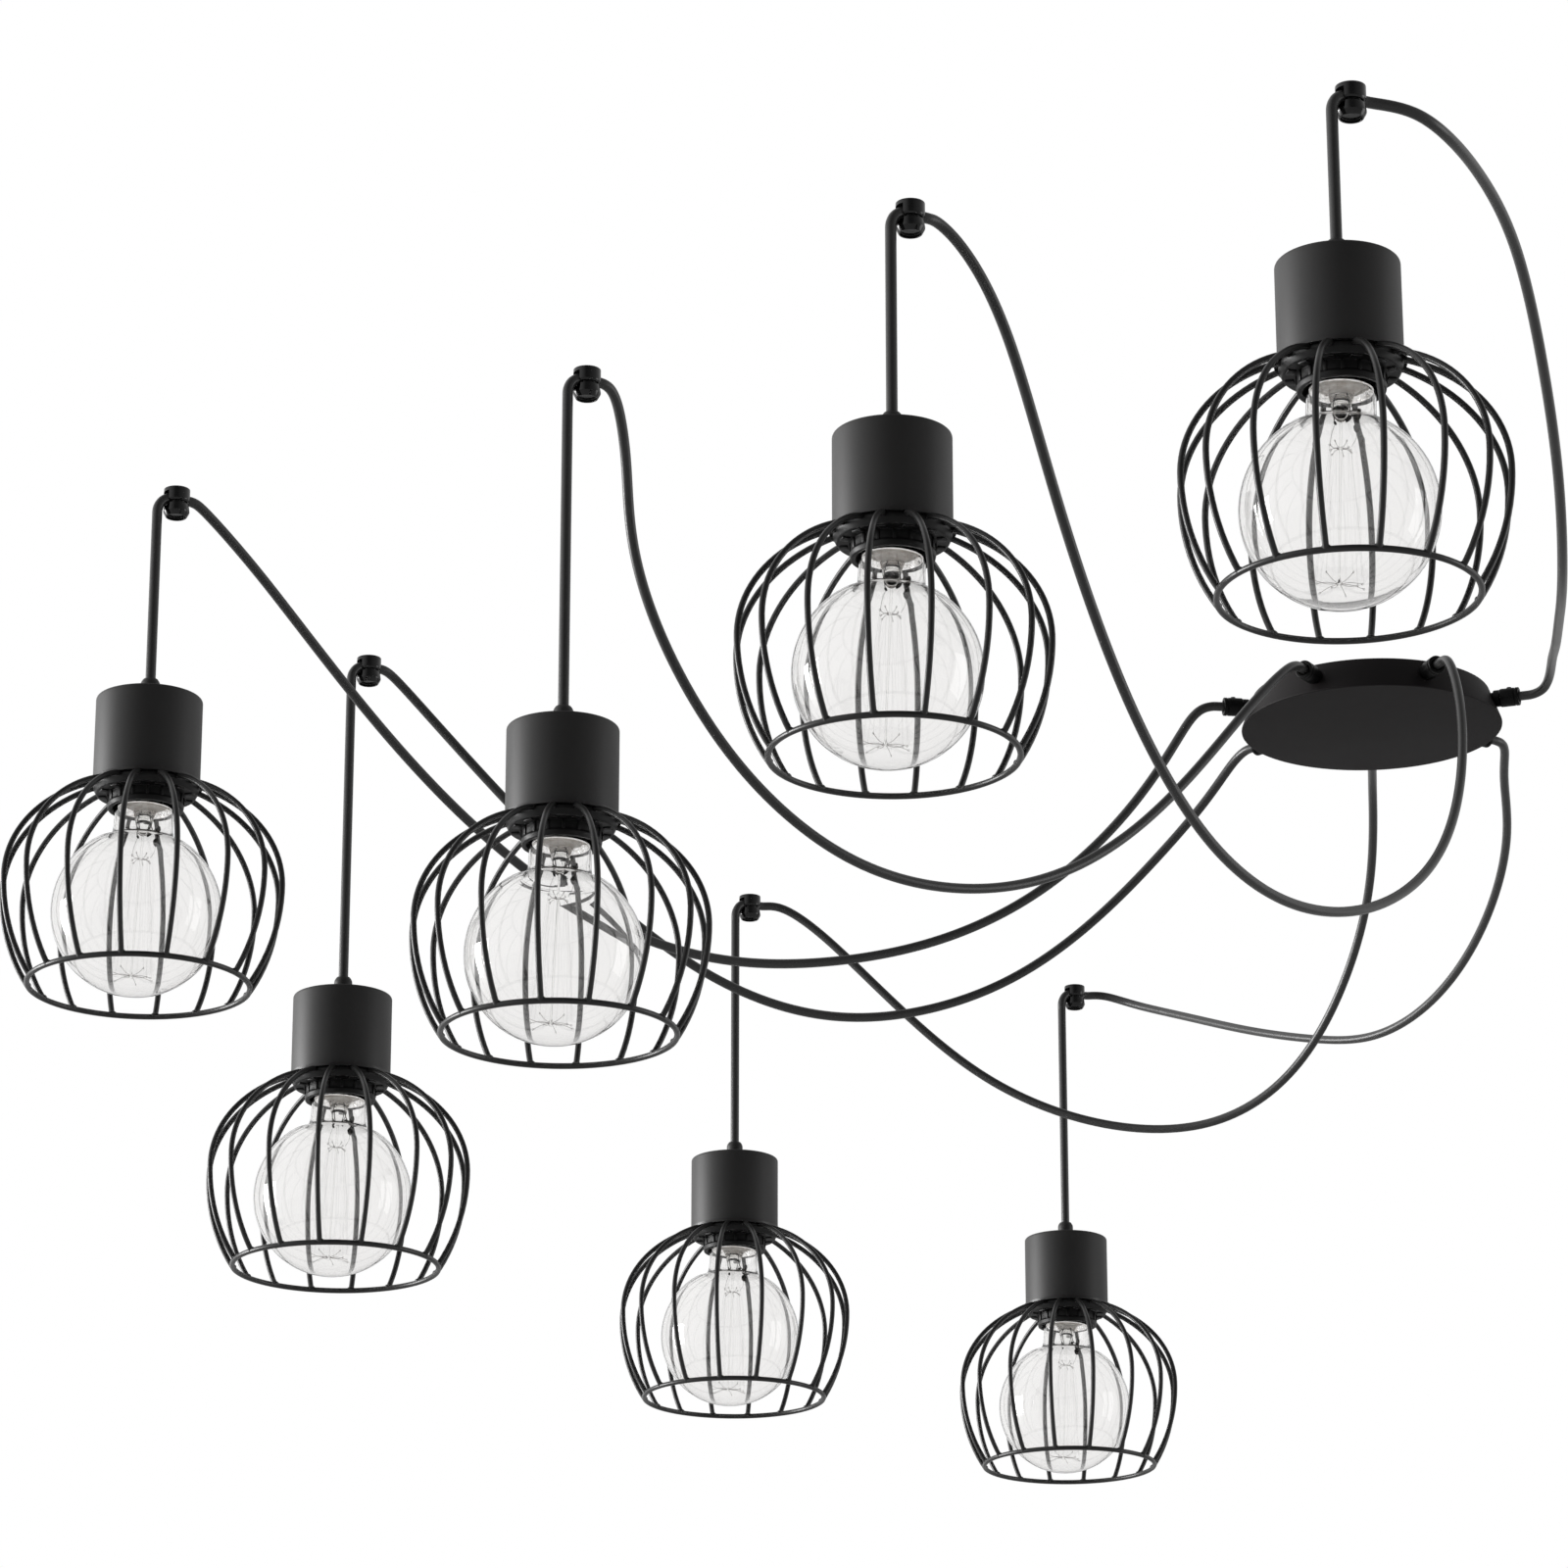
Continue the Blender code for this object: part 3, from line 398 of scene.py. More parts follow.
CUT_SHARP = math.radians(35.0)


def cut(mesh, cutters, name):
    """The mesh less the cutter shapes, by an exact Boolean."""
    obj = bpy.data.objects.new(name, mesh)
    tool = bpy.data.objects.new(name + "_tool", finish_mesh(cutters, name + "_tool"))
    for item in (obj, tool):
        bpy.context.scene.collection.objects.link(item)
    modifier = obj.modifiers.new("Cut", "BOOLEAN")
    modifier.operation = "DIFFERENCE"
    modifier.solver = "EXACT"
    modifier.object = tool
    bpy.context.view_layer.update()
    depsgraph = bpy.context.evaluated_depsgraph_get()
    result = bpy.data.meshes.new_from_object(obj.evaluated_get(depsgraph))
    for item in (obj, tool):
        bpy.data.objects.remove(item, do_unlink=True)
    result.name = name
    result.shade_smooth()
    result.set_sharp_from_angle(angle=CUT_SHARP)
    return result

# %% [markdown]
# ## From mesh to piece
#
# Every piece rides on a body of the frame by name, so it moves with the joint that moves that body. It
# also names the CAD node that it stands for, which is then hidden. A piece's own place goes into its mesh
# and its object stays at the origin, as a CAD node's does.

# %% Put a piece on its body
def put(name, mesh, body, look, nodes=(), matrix=None, share=False):
    """A finished piece: its place goes into the mesh, then it rides on its body."""
    if not share:
        mesh = mesh.copy()
    mesh.name = name
    if matrix is not None:
        mesh.transform(matrix)
    mesh.materials.clear()
    mesh.materials.append(look)
    obj = bpy.data.objects.new(name, mesh)
    bpy.context.scene.collection.objects.link(obj)
    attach(obj, body)
    if nodes:
        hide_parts(*nodes)

# %% [markdown]
# ## Cables
#
# The real cables are round, dark grey and limp: each leaves its grip straight, sags, rises to its hook,
# bends down through the slot and drops to its pendant. A curve object with a round bevel makes such a
# cable, because its thickness is one number and its length can be measured along its points. The swag
# repeats its route from the part's source as one even cubic spline, so no bend shows a joint. The
# straight lead below the hook is a cable of its own, because it rides on the body that swings. Its top
# end is domed, so that it stays closed inside the bend when it tilts.

# %% Cable sheath
def cable_sheath():
    """Dark grey plastic sheath with faint drawn lines and handling marks."""
    look = Look("cable_sheath", (0.024, 0.024, 0.024), 0.34)
    cloud = look.noise(45.0, 4.0)
    look.set("Base Color", look.blend(cloud, (0.026, 0.0258, 0.0262), (0.037, 0.0365, 0.0360)))
    look.set("Roughness", cloud * 0.12 + 0.26)
    look.bump(look.noise(700.0, 3.0), 0.15, 0.00005)
    return look.material


SHEATH = cable_sheath()

# %% Routes of the seven swags
CABLE_ROUTES = [
    [
        (0.105, -0.039, -0.008), (0.107, -0.053, -0.003), (0.101, -0.103, -0.009), (0.091, -0.187, -0.034),
        (0.077, -0.298, -0.056), (0.063, -0.411, -0.081), (0.049, -0.513, -0.059), (0.027, -0.617, -0.033),
        (0.003, -0.709, -0.004), (-0.025, -0.788, -0.004), (-0.048, -0.850, -0.013), (-0.067, -0.867, -0.006),
    ],
    [
        (0.037, -0.111, -0.014), (0.040, -0.136, -0.051), (0.034, -0.176, -0.114), (0.013, -0.230, -0.182),
        (-0.029, -0.297, -0.234), (-0.085, -0.374, -0.262), (-0.142, -0.459, -0.255), (-0.193, -0.552, -0.201),
        (-0.232, -0.630, -0.115), (-0.256, -0.685, -0.044), (-0.278, -0.717, -0.014), (-0.294, -0.733, -0.004),
    ],
    [
        (-0.062, -0.101, -0.015), (-0.088, -0.127, -0.049), (-0.125, -0.162, -0.105), (-0.170, -0.204, -0.162),
        (-0.222, -0.250, -0.204), (-0.281, -0.298, -0.224), (-0.341, -0.349, -0.222), (-0.399, -0.400, -0.186),
        (-0.440, -0.440, -0.127), (-0.458, -0.463, -0.074), (-0.458, -0.484, -0.034), (-0.463, -0.516, -0.008),
    ],
    [
        (-0.114, -0.012, -0.013), (-0.131, -0.007, -0.044), (-0.164, -0.003, -0.089), (-0.213, -0.006, -0.134),
        (-0.273, -0.021, -0.169), (-0.344, -0.050, -0.192), (-0.420, -0.091, -0.204), (-0.498, -0.146, -0.188),
        (-0.573, -0.204, -0.139), (-0.632, -0.260, -0.081), (-0.675, -0.310, -0.034), (-0.705, -0.344, -0.008),
    ],
    [
        (-0.081, 0.084, -0.013), (-0.097, 0.099, -0.035), (-0.127, 0.114, -0.067), (-0.168, 0.122, -0.109),
        (-0.220, 0.118, -0.151), (-0.282, 0.100, -0.180), (-0.351, 0.069, -0.194), (-0.424, 0.026, -0.178),
        (-0.496, -0.014, -0.128), (-0.553, -0.037, -0.073), (-0.594, -0.049, -0.029), (-0.615, -0.061, -0.008),
    ],
    [
        (0.013, 0.120, -0.010), (0.016, 0.149, -0.013), (0.020, 0.186, -0.029), (0.021, 0.232, -0.062),
        (0.007, 0.281, -0.110), (-0.023, 0.330, -0.158), (-0.077, 0.372, -0.185), (-0.155, 0.404, -0.174),
        (-0.233, 0.426, -0.135), (-0.296, 0.426, -0.076), (-0.342, 0.430, -0.026), (-0.373, 0.429, -0.003),
    ],
    [
        (0.094, 0.064, -0.010), (0.095, 0.099, -0.018), (0.107, 0.157, -0.036), (0.106, 0.225, -0.060),
        (0.092, 0.291, -0.087), (0.068, 0.350, -0.106), (0.037, 0.403, -0.111), (0.002, 0.454, -0.095),
        (-0.038, 0.519, -0.070), (-0.077, 0.587, -0.039), (-0.110, 0.638, -0.016), (-0.133, 0.652, -0.003),
    ],
]

# %% The line of a swag
ROUTE_STEPS = 14
BEND_STEPS = 12
CABLE_INSIDE_GRIP = 3 * MM


def spline_line(controls, steps):
    """The even cubic spline drawn by the control points, as in the part's source."""
    line = []
    for first, second, third, fourth in zip(controls, controls[1:], controls[2:], controls[3:]):
        for step in range(steps):
            share = step / steps
            rest = 1.0 - share
            total = first * rest ** 3 + fourth * share ** 3
            total += second * (3 * share ** 3 - 6 * share ** 2 + 4)
            total += third * (3 * rest ** 3 - 6 * rest ** 2 + 4)
            line.append(total / 6)
    return line


def swag_points(index):
    """From inside the grip along the route, through the hook's slot and down to the pivot."""
    outward = grip_way(index)
    exit_point = outward * (rim_radius(GRIP_DEPTH) + GRIP_OUTSIDE + GAP) + DOWN * GRIP_DEPTH
    hook = hook_place(index) + DOWN * CABLE_AXIS
    mouth = hook - SLOT_WAY * HOOK_RADIUS
    bend_start = hook + SLOT_WAY * CABLE_BEND_START
    route = [Vector(point) for point in CABLE_ROUTES[index]]
    lead_end = exit_point + outward * CABLE_LEAD
    start = [lead_end - outward * CABLE_LEAD, lead_end, lead_end + outward * CABLE_LEAD]
    end = [mouth - SLOT_WAY * CABLE_LEAD, mouth, bend_start, bend_start * 2 - mouth]
    line = [exit_point - outward * CABLE_INSIDE_GRIP, exit_point]
    line += spline_line(start + route + end, ROUTE_STEPS)
    line.append(bend_start)
    centre = bend_start + DOWN * CABLE_BEND
    for step in range(1, BEND_STEPS + 1):
        turn = math.pi / 2 * step / BEND_STEPS
        line.append(centre + SLOT_WAY * CABLE_BEND * math.sin(turn) - DOWN * CABLE_BEND * math.cos(turn))
    line.append(pivot_place(index))
    return line

# %% Swags and leads
def cable(name, points, body, node, shares=None):
    """A free cord along points; shares thin it at each point where they are given."""
    curve = bpy.data.curves.new(name, "CURVE")
    curve.dimensions = "3D"
    curve.bevel_depth = CABLE_RADIUS
    curve.bevel_resolution = CABLE_ROUNDNESS
    curve.use_fill_caps = True
    spline = curve.splines.new("POLY")
    spline.points.add(len(points) - 1)
    for number, point in enumerate(points):
        spline.points[number].co = (*point, 1.0)
        spline.points[number].radius = shares[number] if shares else 1.0
    spline.use_smooth = True
    curve.materials.append(SHEATH)
    obj = bpy.data.objects.new(name, curve)
    bpy.context.scene.collection.objects.link(obj)
    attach(obj, body)
    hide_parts(node)
    length = sum((b - a).length for a, b in zip(points, points[1:]))
    print(f"{name}: {length:.3f} m")


CABLE_ROUNDNESS = 5
DOME_STEPS = 4
DOME_TIP_SHARE = 0.1
LEAD_IN_NIPPLE = 2 * MM

for k in range(COUNT):
    number = k + 1
    cable(f"swag_{number}", swag_points(k), "ceiling", f"cable_swag_{number}")
    top = pivot_place(k)
    low = edge_place(k) - DOWN * (COVER_HEIGHT + NIPPLE_HEIGHT - LEAD_IN_NIPPLE)
    turns = [math.pi / 2 * step / DOME_STEPS for step in range(DOME_STEPS)]
    points = [top - DOWN * CABLE_RADIUS * math.cos(turn) for turn in turns] + [top, low]
    shares = [max(math.sin(turn), DOME_TIP_SHARE) for turn in turns] + [1.0, 1.0]
    cable(f"lead_{number}", points, f"drop_{number}", f"cable_drop_{number}", shares)

# %% [markdown]
# ## Holder cover and cable nipple
#
# The cover is a steel cup, drawn from sheet and coated with matt black powder that leaves a fine
# orange-peel grain. A cylinder would do from afar, but its rolled upper edge and thin lower edge show, so
# its wall is drawn as a profile and spun. The nipple on top grips the cable. It is small but stands free,
# so its foot ring, its groove for the key and its soft mouth are turned from a profile as well.

# %% Powder coat
def powder_coat():
    """Matt black powder coat: a fine orange-peel grain and slow changes of sheen."""
    look = Look("powder_coat", (0.020, 0.0195, 0.0195), 0.55)
    grain = look.noise(2600.0, 2.0)
    cloud = look.noise(28.0, 3.0)
    look.set("Base Color", look.blend(cloud, (0.016, 0.0155, 0.0158), (0.025, 0.0242, 0.0238)))
    look.set("Roughness", cloud * 0.08 + grain * 0.08 + 0.42)
    look.set("Specular IOR Level", 0.42)
    look.bump(grain, 0.22, 0.00004)
    return look.material


POWDER = powder_coat()

# %% Cover and nipple
COVER_RADIUS = 0.0300
COVER_WALL = 0.0012
NIPPLE_RADIUS = 0.0055
NIPPLE_STEPS = 40


def cover_mesh():
    """Cup with a small rolled top edge and a thin lower edge."""
    top = COVER_HEIGHT
    inside = COVER_RADIUS - COVER_WALL
    points = [
        (0.0, top), (COVER_RADIUS, top), (COVER_RADIUS, 0.0), (inside, 0.0),
        (inside, top - COVER_WALL), (0.0, top - COVER_WALL),
    ]
    return finish_mesh(lathe(rounded(points, [1.8, 0.35, 0.35, 0.8], 5), LARGE_STEPS), "cover")


def nipple_mesh():
    """Cable nipple with a foot ring, a groove for the key and a soft mouth round the cable."""
    foot = COVER_HEIGHT
    top = foot + NIPPLE_HEIGHT - 0.6 * MM
    groove = NIPPLE_RADIUS - 0.7 * MM
    mouth = CABLE_RADIUS + 0.1 * MM
    points = [
        (0.0, foot - 0.2 * MM), (NIPPLE_RADIUS, foot - 0.2 * MM), (NIPPLE_RADIUS, foot + 3.2 * MM),
        (groove, foot + 3.4 * MM), (groove, foot + 4.6 * MM), (NIPPLE_RADIUS, foot + 4.8 * MM),
        (NIPPLE_RADIUS, top - 2.2 * MM), (NIPPLE_RADIUS - 1.5 * MM, top), (mouth, top),
        (mouth, top - 3 * MM), (0.0, top - 3 * MM),
    ]
    profile = rounded(points, [0.2, 0.4, 0.2, 0.2, 0.4, 1.4, 0.9, 0.3, 0.1])
    return finish_mesh(lathe(profile, NIPPLE_STEPS), "nipple", 30.0)

# %% [markdown]
# ## Lamp holder
#
# Only the underside of the black holder shows, between the cage's ribs: the shade ring that clamps the
# cage, with lugs to turn it by, then a ribbed collar and the lip round the bulb. Phenolic plastic of this
# kind is dark and only half glossy. The body is one spun profile. Lugs, ribs and notches are small
# bevelled boxes set round the axis, let into the body, because each of them is only a few millimetres.

# %% Holder plastic
def holder_plastic():
    """Black phenolic plastic of the lamp holder."""
    look = Look("holder_plastic", (0.005, 0.005, 0.0052), 0.42)
    cloud = look.noise(120.0, 3.0)
    look.set("Roughness", cloud * 0.14 + 0.36)
    look.set("Specular IOR Level", 0.30)
    look.set("Base Color", look.blend(cloud, (0.0035, 0.0035, 0.0038), (0.0065, 0.0063, 0.0062)))
    look.bump(look.noise(900.0, 2.0), 0.12, 0.00004)
    return look.material


HOLDER = holder_plastic()

# %% Lamp holder
PLATE_THICKNESS = 0.0016
HOLDER_RADIUS = 0.0195
RING_RADIUS = 0.0295
RING_LOWER = 0.0076
LIP_RADIUS = 0.0215
LIP_SHOWN = 0.0162
BORE_RADIUS = 0.0142
BORE_TOP = 0.0175
LUGS = 12
COLLAR_RIBS = 16
RING_NOTCHES = 24


def boxes_round(shape, count, radius, height, size, bevel, shift=0.0):
    """The same small box, count times round the axis; size and bevel are in millimetres."""
    size = [side * MM for side in size]
    for step in range(count):
        turn = math.tau * (step + shift) / count
        add_box(shape, Vector((radius, 0.0, height)), size, turn, bevel * MM)


def holder_mesh():
    """Hidden body, shade ring with a lugged underside, ribbed collar and thick lip."""
    stud = COVER_HEIGHT - COVER_WALL - GAP
    ring_top = -GAP * 2 - PLATE_THICKNESS
    collar = LIP_RADIUS - 0.6 * MM
    points = [
        (0.0, stud), (5.0 * MM, stud), (HOLDER_RADIUS, stud - 18 * MM), (HOLDER_RADIUS, ring_top),
        (RING_RADIUS, ring_top), (RING_RADIUS, ring_top - 2.0 * MM),
        (RING_RADIUS - 1.6 * MM, -RING_LOWER), (collar, -RING_LOWER), (collar, -12.4 * MM),
        (LIP_RADIUS, -13.4 * MM), (LIP_RADIUS - 0.5 * MM, -LIP_SHOWN), (18.6 * MM, -LIP_SHOWN),
        (18.0 * MM, -13.4 * MM), (BORE_RADIUS + 0.6 * MM, -10 * MM), (BORE_RADIUS, -9 * MM),
        (BORE_RADIUS, BORE_TOP), (0.0, BORE_TOP),
    ]
    sizes = [0.5, 1, 0.2, 0.5, 0.6, 0.7, 0.5, 0.4, 0.6, 0.6, 0.9, 0.9, 1.0, 0.4, 0.4, 0.2]
    shape = lathe(rounded(points, sizes), LARGE_STEPS)
    boxes_round(shape, LUGS, 24.6 * MM, -RING_LOWER, (4.2, 5.4, 1.5), 0.35, 0.5)
    boxes_round(shape, COLLAR_RIBS, 20.9 * MM, -10.3 * MM, (1.5, 1.7, 5.2), 0.3)
    notch_height = ring_top - 1.3 * MM
    boxes_round(shape, RING_NOTCHES, RING_RADIUS - 0.25 * MM, notch_height, (0.5, 2.2, 1.6), 0.15)
    return finish_mesh(shape, "holder")

# %% [markdown]
# ## Wire cage
#
# The cage is the piece that gives this lamp its look: sixteen wires welded to a flat top ring, bellied
# out and drawn in to a bottom ring of the same wire. Each rib is a tube along two arcs of ellipses that
# meet at the belly, so it is drawn once in its own plane and turned round the axis. Small flattened
# spheres are the weld beads. The satin paint is smoother than the powder coat and shows a soft light line.

# %% Wire paint
def wire_paint():
    """Satin black paint on the cage's wires."""
    look = Look("wire_paint", (0.013, 0.013, 0.0135), 0.40)
    cloud = look.noise(60.0, 4.0)
    grain = look.noise(1500.0, 2.0)
    look.set("Base Color", look.blend(cloud, (0.010, 0.010, 0.0105), (0.018, 0.0175, 0.017)))
    look.set("Roughness", cloud * 0.10 + 0.27)
    look.bump(grain, 0.18, 0.00005)
    return look.material


WIRE = wire_paint()

# %% The line of a rib
WIRE_RADIUS = 0.0016
RIB_COUNT = 16
RIB_STEPS = 32
RIB_OVER_PLATE = 6.0 * MM
BELLY_RADIUS = 0.0784
BELLY_DEPTH = 0.0619
CAGE_RING_RADIUS = 0.0615
CAGE_HEIGHT = 0.1200
PLATE_RADIUS = 0.0315


def rib_points():
    """The rib's centre line in its own plane, as (radius, height)."""
    top_depth = GAP + PLATE_THICKNESS + WIRE_RADIUS * 0.55
    ring_depth = CAGE_HEIGHT - WIRE_RADIUS
    start = math.acos((PLATE_RADIUS - 1.0 * MM) / BELLY_RADIUS)
    end = -math.acos(CAGE_RING_RADIUS / BELLY_RADIUS)
    upper = (BELLY_DEPTH - top_depth) / math.sin(start)
    lower = (ring_depth - BELLY_DEPTH) / -math.sin(end)
    line = [(PLATE_RADIUS - RIB_OVER_PLATE, -top_depth)]
    for step in range(RIB_STEPS + 1):
        angle = start + (end - start) * step / RIB_STEPS
        height = upper if angle > 0 else lower
        line.append((BELLY_RADIUS * math.cos(angle), height * math.sin(angle) - BELLY_DEPTH))
    return line


rib = rib_points()
print(f"rib: {sum(math.dist(a, b) for a, b in zip(rib, rib[1:])):.3f} m of wire")

# %% Wire cage
WIRE_SIDES = 12
RING_STEPS = 128
BEAD_SHARE = 1.12
BEAD_FORM = (1.0, 1.35, 0.8, 1.0)


def cage_mesh():
    """Sixteen bent wires between the top ring and the bottom ring, with small weld beads."""
    shape = bmesh.new()
    inner = HOLDER_RADIUS + GAP
    low = -GAP - PLATE_THICKNESS
    plate = [(inner, -GAP), (PLATE_RADIUS, -GAP), (PLATE_RADIUS, low), (inner, low)]
    lathe(plate, LARGE_STEPS, closed=True, shape=shape)
    turns = [
        Matrix.Rotation((index + 0.5) * math.tau / RIB_COUNT, 4, "Z") for index in range(RIB_COUNT)
    ]
    line = [Vector((radius, 0.0, height)) for radius, height in rib_points()]
    for turn in turns:
        tube(shape, [turn @ point for point in line], WIRE_RADIUS, WIRE_SIDES)
    ring = []
    for index in range(RING_STEPS):
        angle = math.tau * index / RING_STEPS
        x, y = CAGE_RING_RADIUS * math.cos(angle), CAGE_RING_RADIUS * math.sin(angle)
        ring.append(Vector((x, y, WIRE_RADIUS - CAGE_HEIGHT)))
    tube(shape, ring, WIRE_RADIUS, WIRE_SIDES, closed=True)
    bead = Vector((CAGE_RING_RADIUS + 0.15 * MM, 0.0, WIRE_RADIUS * 1.7 - CAGE_HEIGHT))
    for turn in turns:
        bmesh.ops.create_uvsphere(
            shape, u_segments=12, v_segments=8, radius=WIRE_RADIUS * BEAD_SHARE,
            matrix=Matrix.Translation(turn @ bead) @ turn @ Matrix.Diagonal(BEAD_FORM),
        )
    return finish_mesh(shape, "cage", 50.0)

# %% [markdown]
# ## Bulb: globe
#
# The bulb is a clear 95 mm globe of blown glass on a short neck. Glass needs two faces, because light
# bends where it goes in and where it comes out. So the globe is a closed shell: its outline runs down
# the outside, and back up the inside moved inwards by the wall. A slow, faint bump stands for the
# waviness that blown glass has.

# %% Clear glass
def clear_glass():
    """Clear blown glass with very slight waviness."""
    look = Look("clear_glass", (0.94, 0.935, 0.93), 0.0)
    look.set("Transmission Weight", 1.0)
    look.set("IOR", 1.50)
    look.bump(look.noise(34.0, 1.0), 0.07, 0.0006)
    return look.material


GLASS = clear_glass()

# %% Globe
BULB_RADIUS = 0.0475
BULB_CENTRE = 0.0760
GLASS_WALL = 0.7 * MM
SHOULDER_ANGLE = math.radians(34.6)
GLOBE_STEPS = 32
NECK_STEPS = 4
NECK = mm([
    (12.9, -6.0), (13.1, -8.6), (14.6, -10.8), (16.1, -13.6), (16.6, -17.5), (16.6, -22.0),
    (16.7, -26.5), (17.1, -30.2), (18.6, -33.0), (21.4, -34.6), (24.5, -35.8),
])


def glass_profile(offset):
    """The bulb's outline from the neck's top to the bottom pole, moved inwards by offset."""
    neck = [Vector((radius, height, 0.0)) for radius, height in NECK]
    line = smooth_line([neck[0], *neck, neck[-1]], NECK_STEPS)
    points = [(point.x - offset, point.y) for point in line[:-1]]
    reach = BULB_RADIUS - offset
    for step in range(GLOBE_STEPS + 1):
        angle = SHOULDER_ANGLE + (math.pi - SHOULDER_ANGLE) * step / GLOBE_STEPS
        points.append((reach * math.sin(angle), reach * math.cos(angle) - BULB_CENTRE))
    points[-1] = (0.0, offset - BULB_RADIUS - BULB_CENTRE)
    return points


def globe_mesh():
    """Blown glass as a closed shell with real thickness."""
    outer = glass_profile(0.0)
    inner = glass_profile(GLASS_WALL)
    return finish_mesh(lathe(outer + list(reversed(inner)), LARGE_STEPS, closed=True), "globe", 60.0)

# %% [markdown]
# ## Bulb: screw cap
#
# The plated cap sits inside the holder and is hardly seen, but it shows when the bulb is looked at from
# below through the glass. A real thread climbs; here its section is spun, because at this size the climb
# can't be told and a spun thread is closed.

# %% Plated metal
def plated_cap():
    """Nickel-plated screw shell with light smudges."""
    look = Look("plated_cap", (0.62, 0.58, 0.52), 0.28, 1.0)
    cloud = look.noise(240.0, 4.0)
    look.set("Roughness", cloud * 0.25 + 0.16)
    look.set("Base Color", look.blend(cloud, (0.58, 0.53, 0.46), (0.70, 0.67, 0.62)))
    return look.material


CAP = plated_cap()

# %% Screw cap
THREAD_RADIUS = 12.85 * MM
THREAD_DEPTH = 0.45 * MM
THREAD_POINTS = 41
THREAD_RISE = 0.475
POINTS_A_TURN = 8


def cap_mesh():
    """Screw shell with rolled thread, a flared skirt, and the contact on top."""
    top = BORE_TOP - GAP
    profile = [
        (0.0, top), (4.5 * MM, top), (5.0 * MM, top - 0.6 * MM), (5.0 * MM, top - 1.6 * MM),
        (10.5 * MM, top - 3.4 * MM),
    ]
    for step in range(THREAD_POINTS):
        wave = math.cos(step * math.tau / POINTS_A_TURN)
        profile.append((THREAD_RADIUS + THREAD_DEPTH * wave, top - 4.0 * MM - step * THREAD_RISE * MM))
    profile += mm([(13.2, -6.6), (13.5, -9.6), (13.15, -9.9), (12.2, -9.0), (12.2, 0.0), (0.0, 0.0)])
    return finish_mesh(lathe(profile, SMALL_STEPS), "cap")

# %% [markdown]
# ## Bulb: glass stem
#
# Inside the neck stands the stem: a flare that is fused to the neck, a hollow tube pinched flat round the
# lead wires, and a long rod with two beads that carry the stars of support wires. It is pressed glass and
# would show strong bends of light. A low index of refraction keeps it as faint as in the photograph.

# %% Stem glass
def stem_glass():
    """Clear pressed glass inside the bulb."""
    look = Look("stem_glass", (0.99, 0.99, 0.985), 0.0)
    look.set("Transmission Weight", 1.0)
    look.set("IOR", 1.08)
    look.bump(look.noise(160.0, 2.0), 0.12, 0.0003)
    return look.material


STEM = stem_glass()

# %% Glass stem
UPPER_STAR = -44.6 * MM
LOWER_STAR = -112.6 * MM
STEM_STEPS = 32
ROD_STEPS = 20


def stem_mesh():
    """Hollow flare and tube, the pinched press, and the long centre rod with its two beads."""
    wall = mm([
        (12.6, -9.6), (11.6, -12.5), (6.4, -16.5), (4.9, -22.0), (4.2, -27.5), (1.6, -30.5),
        (0.0, -30.9), (0.0, -29.9), (1.2, -29.6), (3.5, -27.0), (4.2, -22.0), (5.7, -16.0),
        (11.0, -11.7), (12.0, -9.6),
    ])
    shape = lathe(rounded(wall, [2, 3, 4, 2, 1, 0.2, 0.2, 1, 2, 4, 3, 2]), STEM_STEPS)
    rod_line = [
        (0.0, -31.2 * MM), (0.7 * MM, -31.4 * MM), (0.6 * MM, UPPER_STAR + 2.0 * MM),
        (1.3 * MM, UPPER_STAR), (0.6 * MM, UPPER_STAR - 2.0 * MM), (0.5 * MM, LOWER_STAR + 2.2 * MM),
        (1.5 * MM, LOWER_STAR), (1.0 * MM, LOWER_STAR - 1.6 * MM), (0.0, LOWER_STAR - 2.0 * MM),
    ]
    lathe(rounded(rod_line, [0.2, 1, 0.9, 1, 1, 1, 0.9], 5), ROD_STEPS, shape=shape)
    return finish_mesh(shape, "stem", 60.0)

# %% [markdown]
# ## Bulb: cement and fused edge
#
# Dull cement holds the glass in the cap. Below it, the edge where neck and flare are fused is thick and
# bright, and it is the lightest spot inside the neck. Clear glass there would only show the dark holder
# behind it, so the edge is a ring of its own with a silvery mirror finish. Its uneven patches of lighter
# and darker colour are painted glints.

# %% Cement and fused edge
def cap_cement():
    """Dull brown-grey cement and tarnish inside the bulb's cap."""
    look = Look("cap_cement", (0.80, 0.75, 0.70), 0.40)
    cloud = look.noise(260.0, 4.0)
    look.set("Base Color", look.blend(cloud.ramp(0.35, 0.65), (0.66, 0.59, 0.53), (0.95, 0.92, 0.88)))
    look.set("Roughness", cloud * 0.25 + 0.32)
    return look.material


def fused_seal_painted_glints():
    """The bright edge where the glass is fused, silvery as it mirrors the light below, with painted glints."""
    look = Look("fused_seal_painted_glints", (0.90, 0.89, 0.87), 0.10, 1.0)
    cloud = look.noise(420.0, 4.0)
    # Patches of lighter and darker colour are painted glints on the silvery edge.
    look.set("Base Color", look.blend(cloud.ramp(0.30, 0.55), (0.66, 0.63, 0.60), (0.97, 0.965, 0.96)))
    look.set("Roughness", cloud * 0.16 + 0.04)
    look.bump(cloud, 0.25, 0.0003)
    return look.material


CEMENT = cap_cement()
SEAL = fused_seal_painted_glints()

# %% Rings inside the neck
def collar_mesh():
    """The dull cement that holds the glass in the cap."""
    points = mm([(0.0, -9.8), (11.6, -9.8), (13.2, -11.6), (12.6, -12.4), (10.8, -11.4), (0.0, -11.0)])
    return finish_mesh(lathe(rounded(points, [0.5, 0.6, 0.4, 0.6]), SMALL_STEPS), "collar", 60.0)


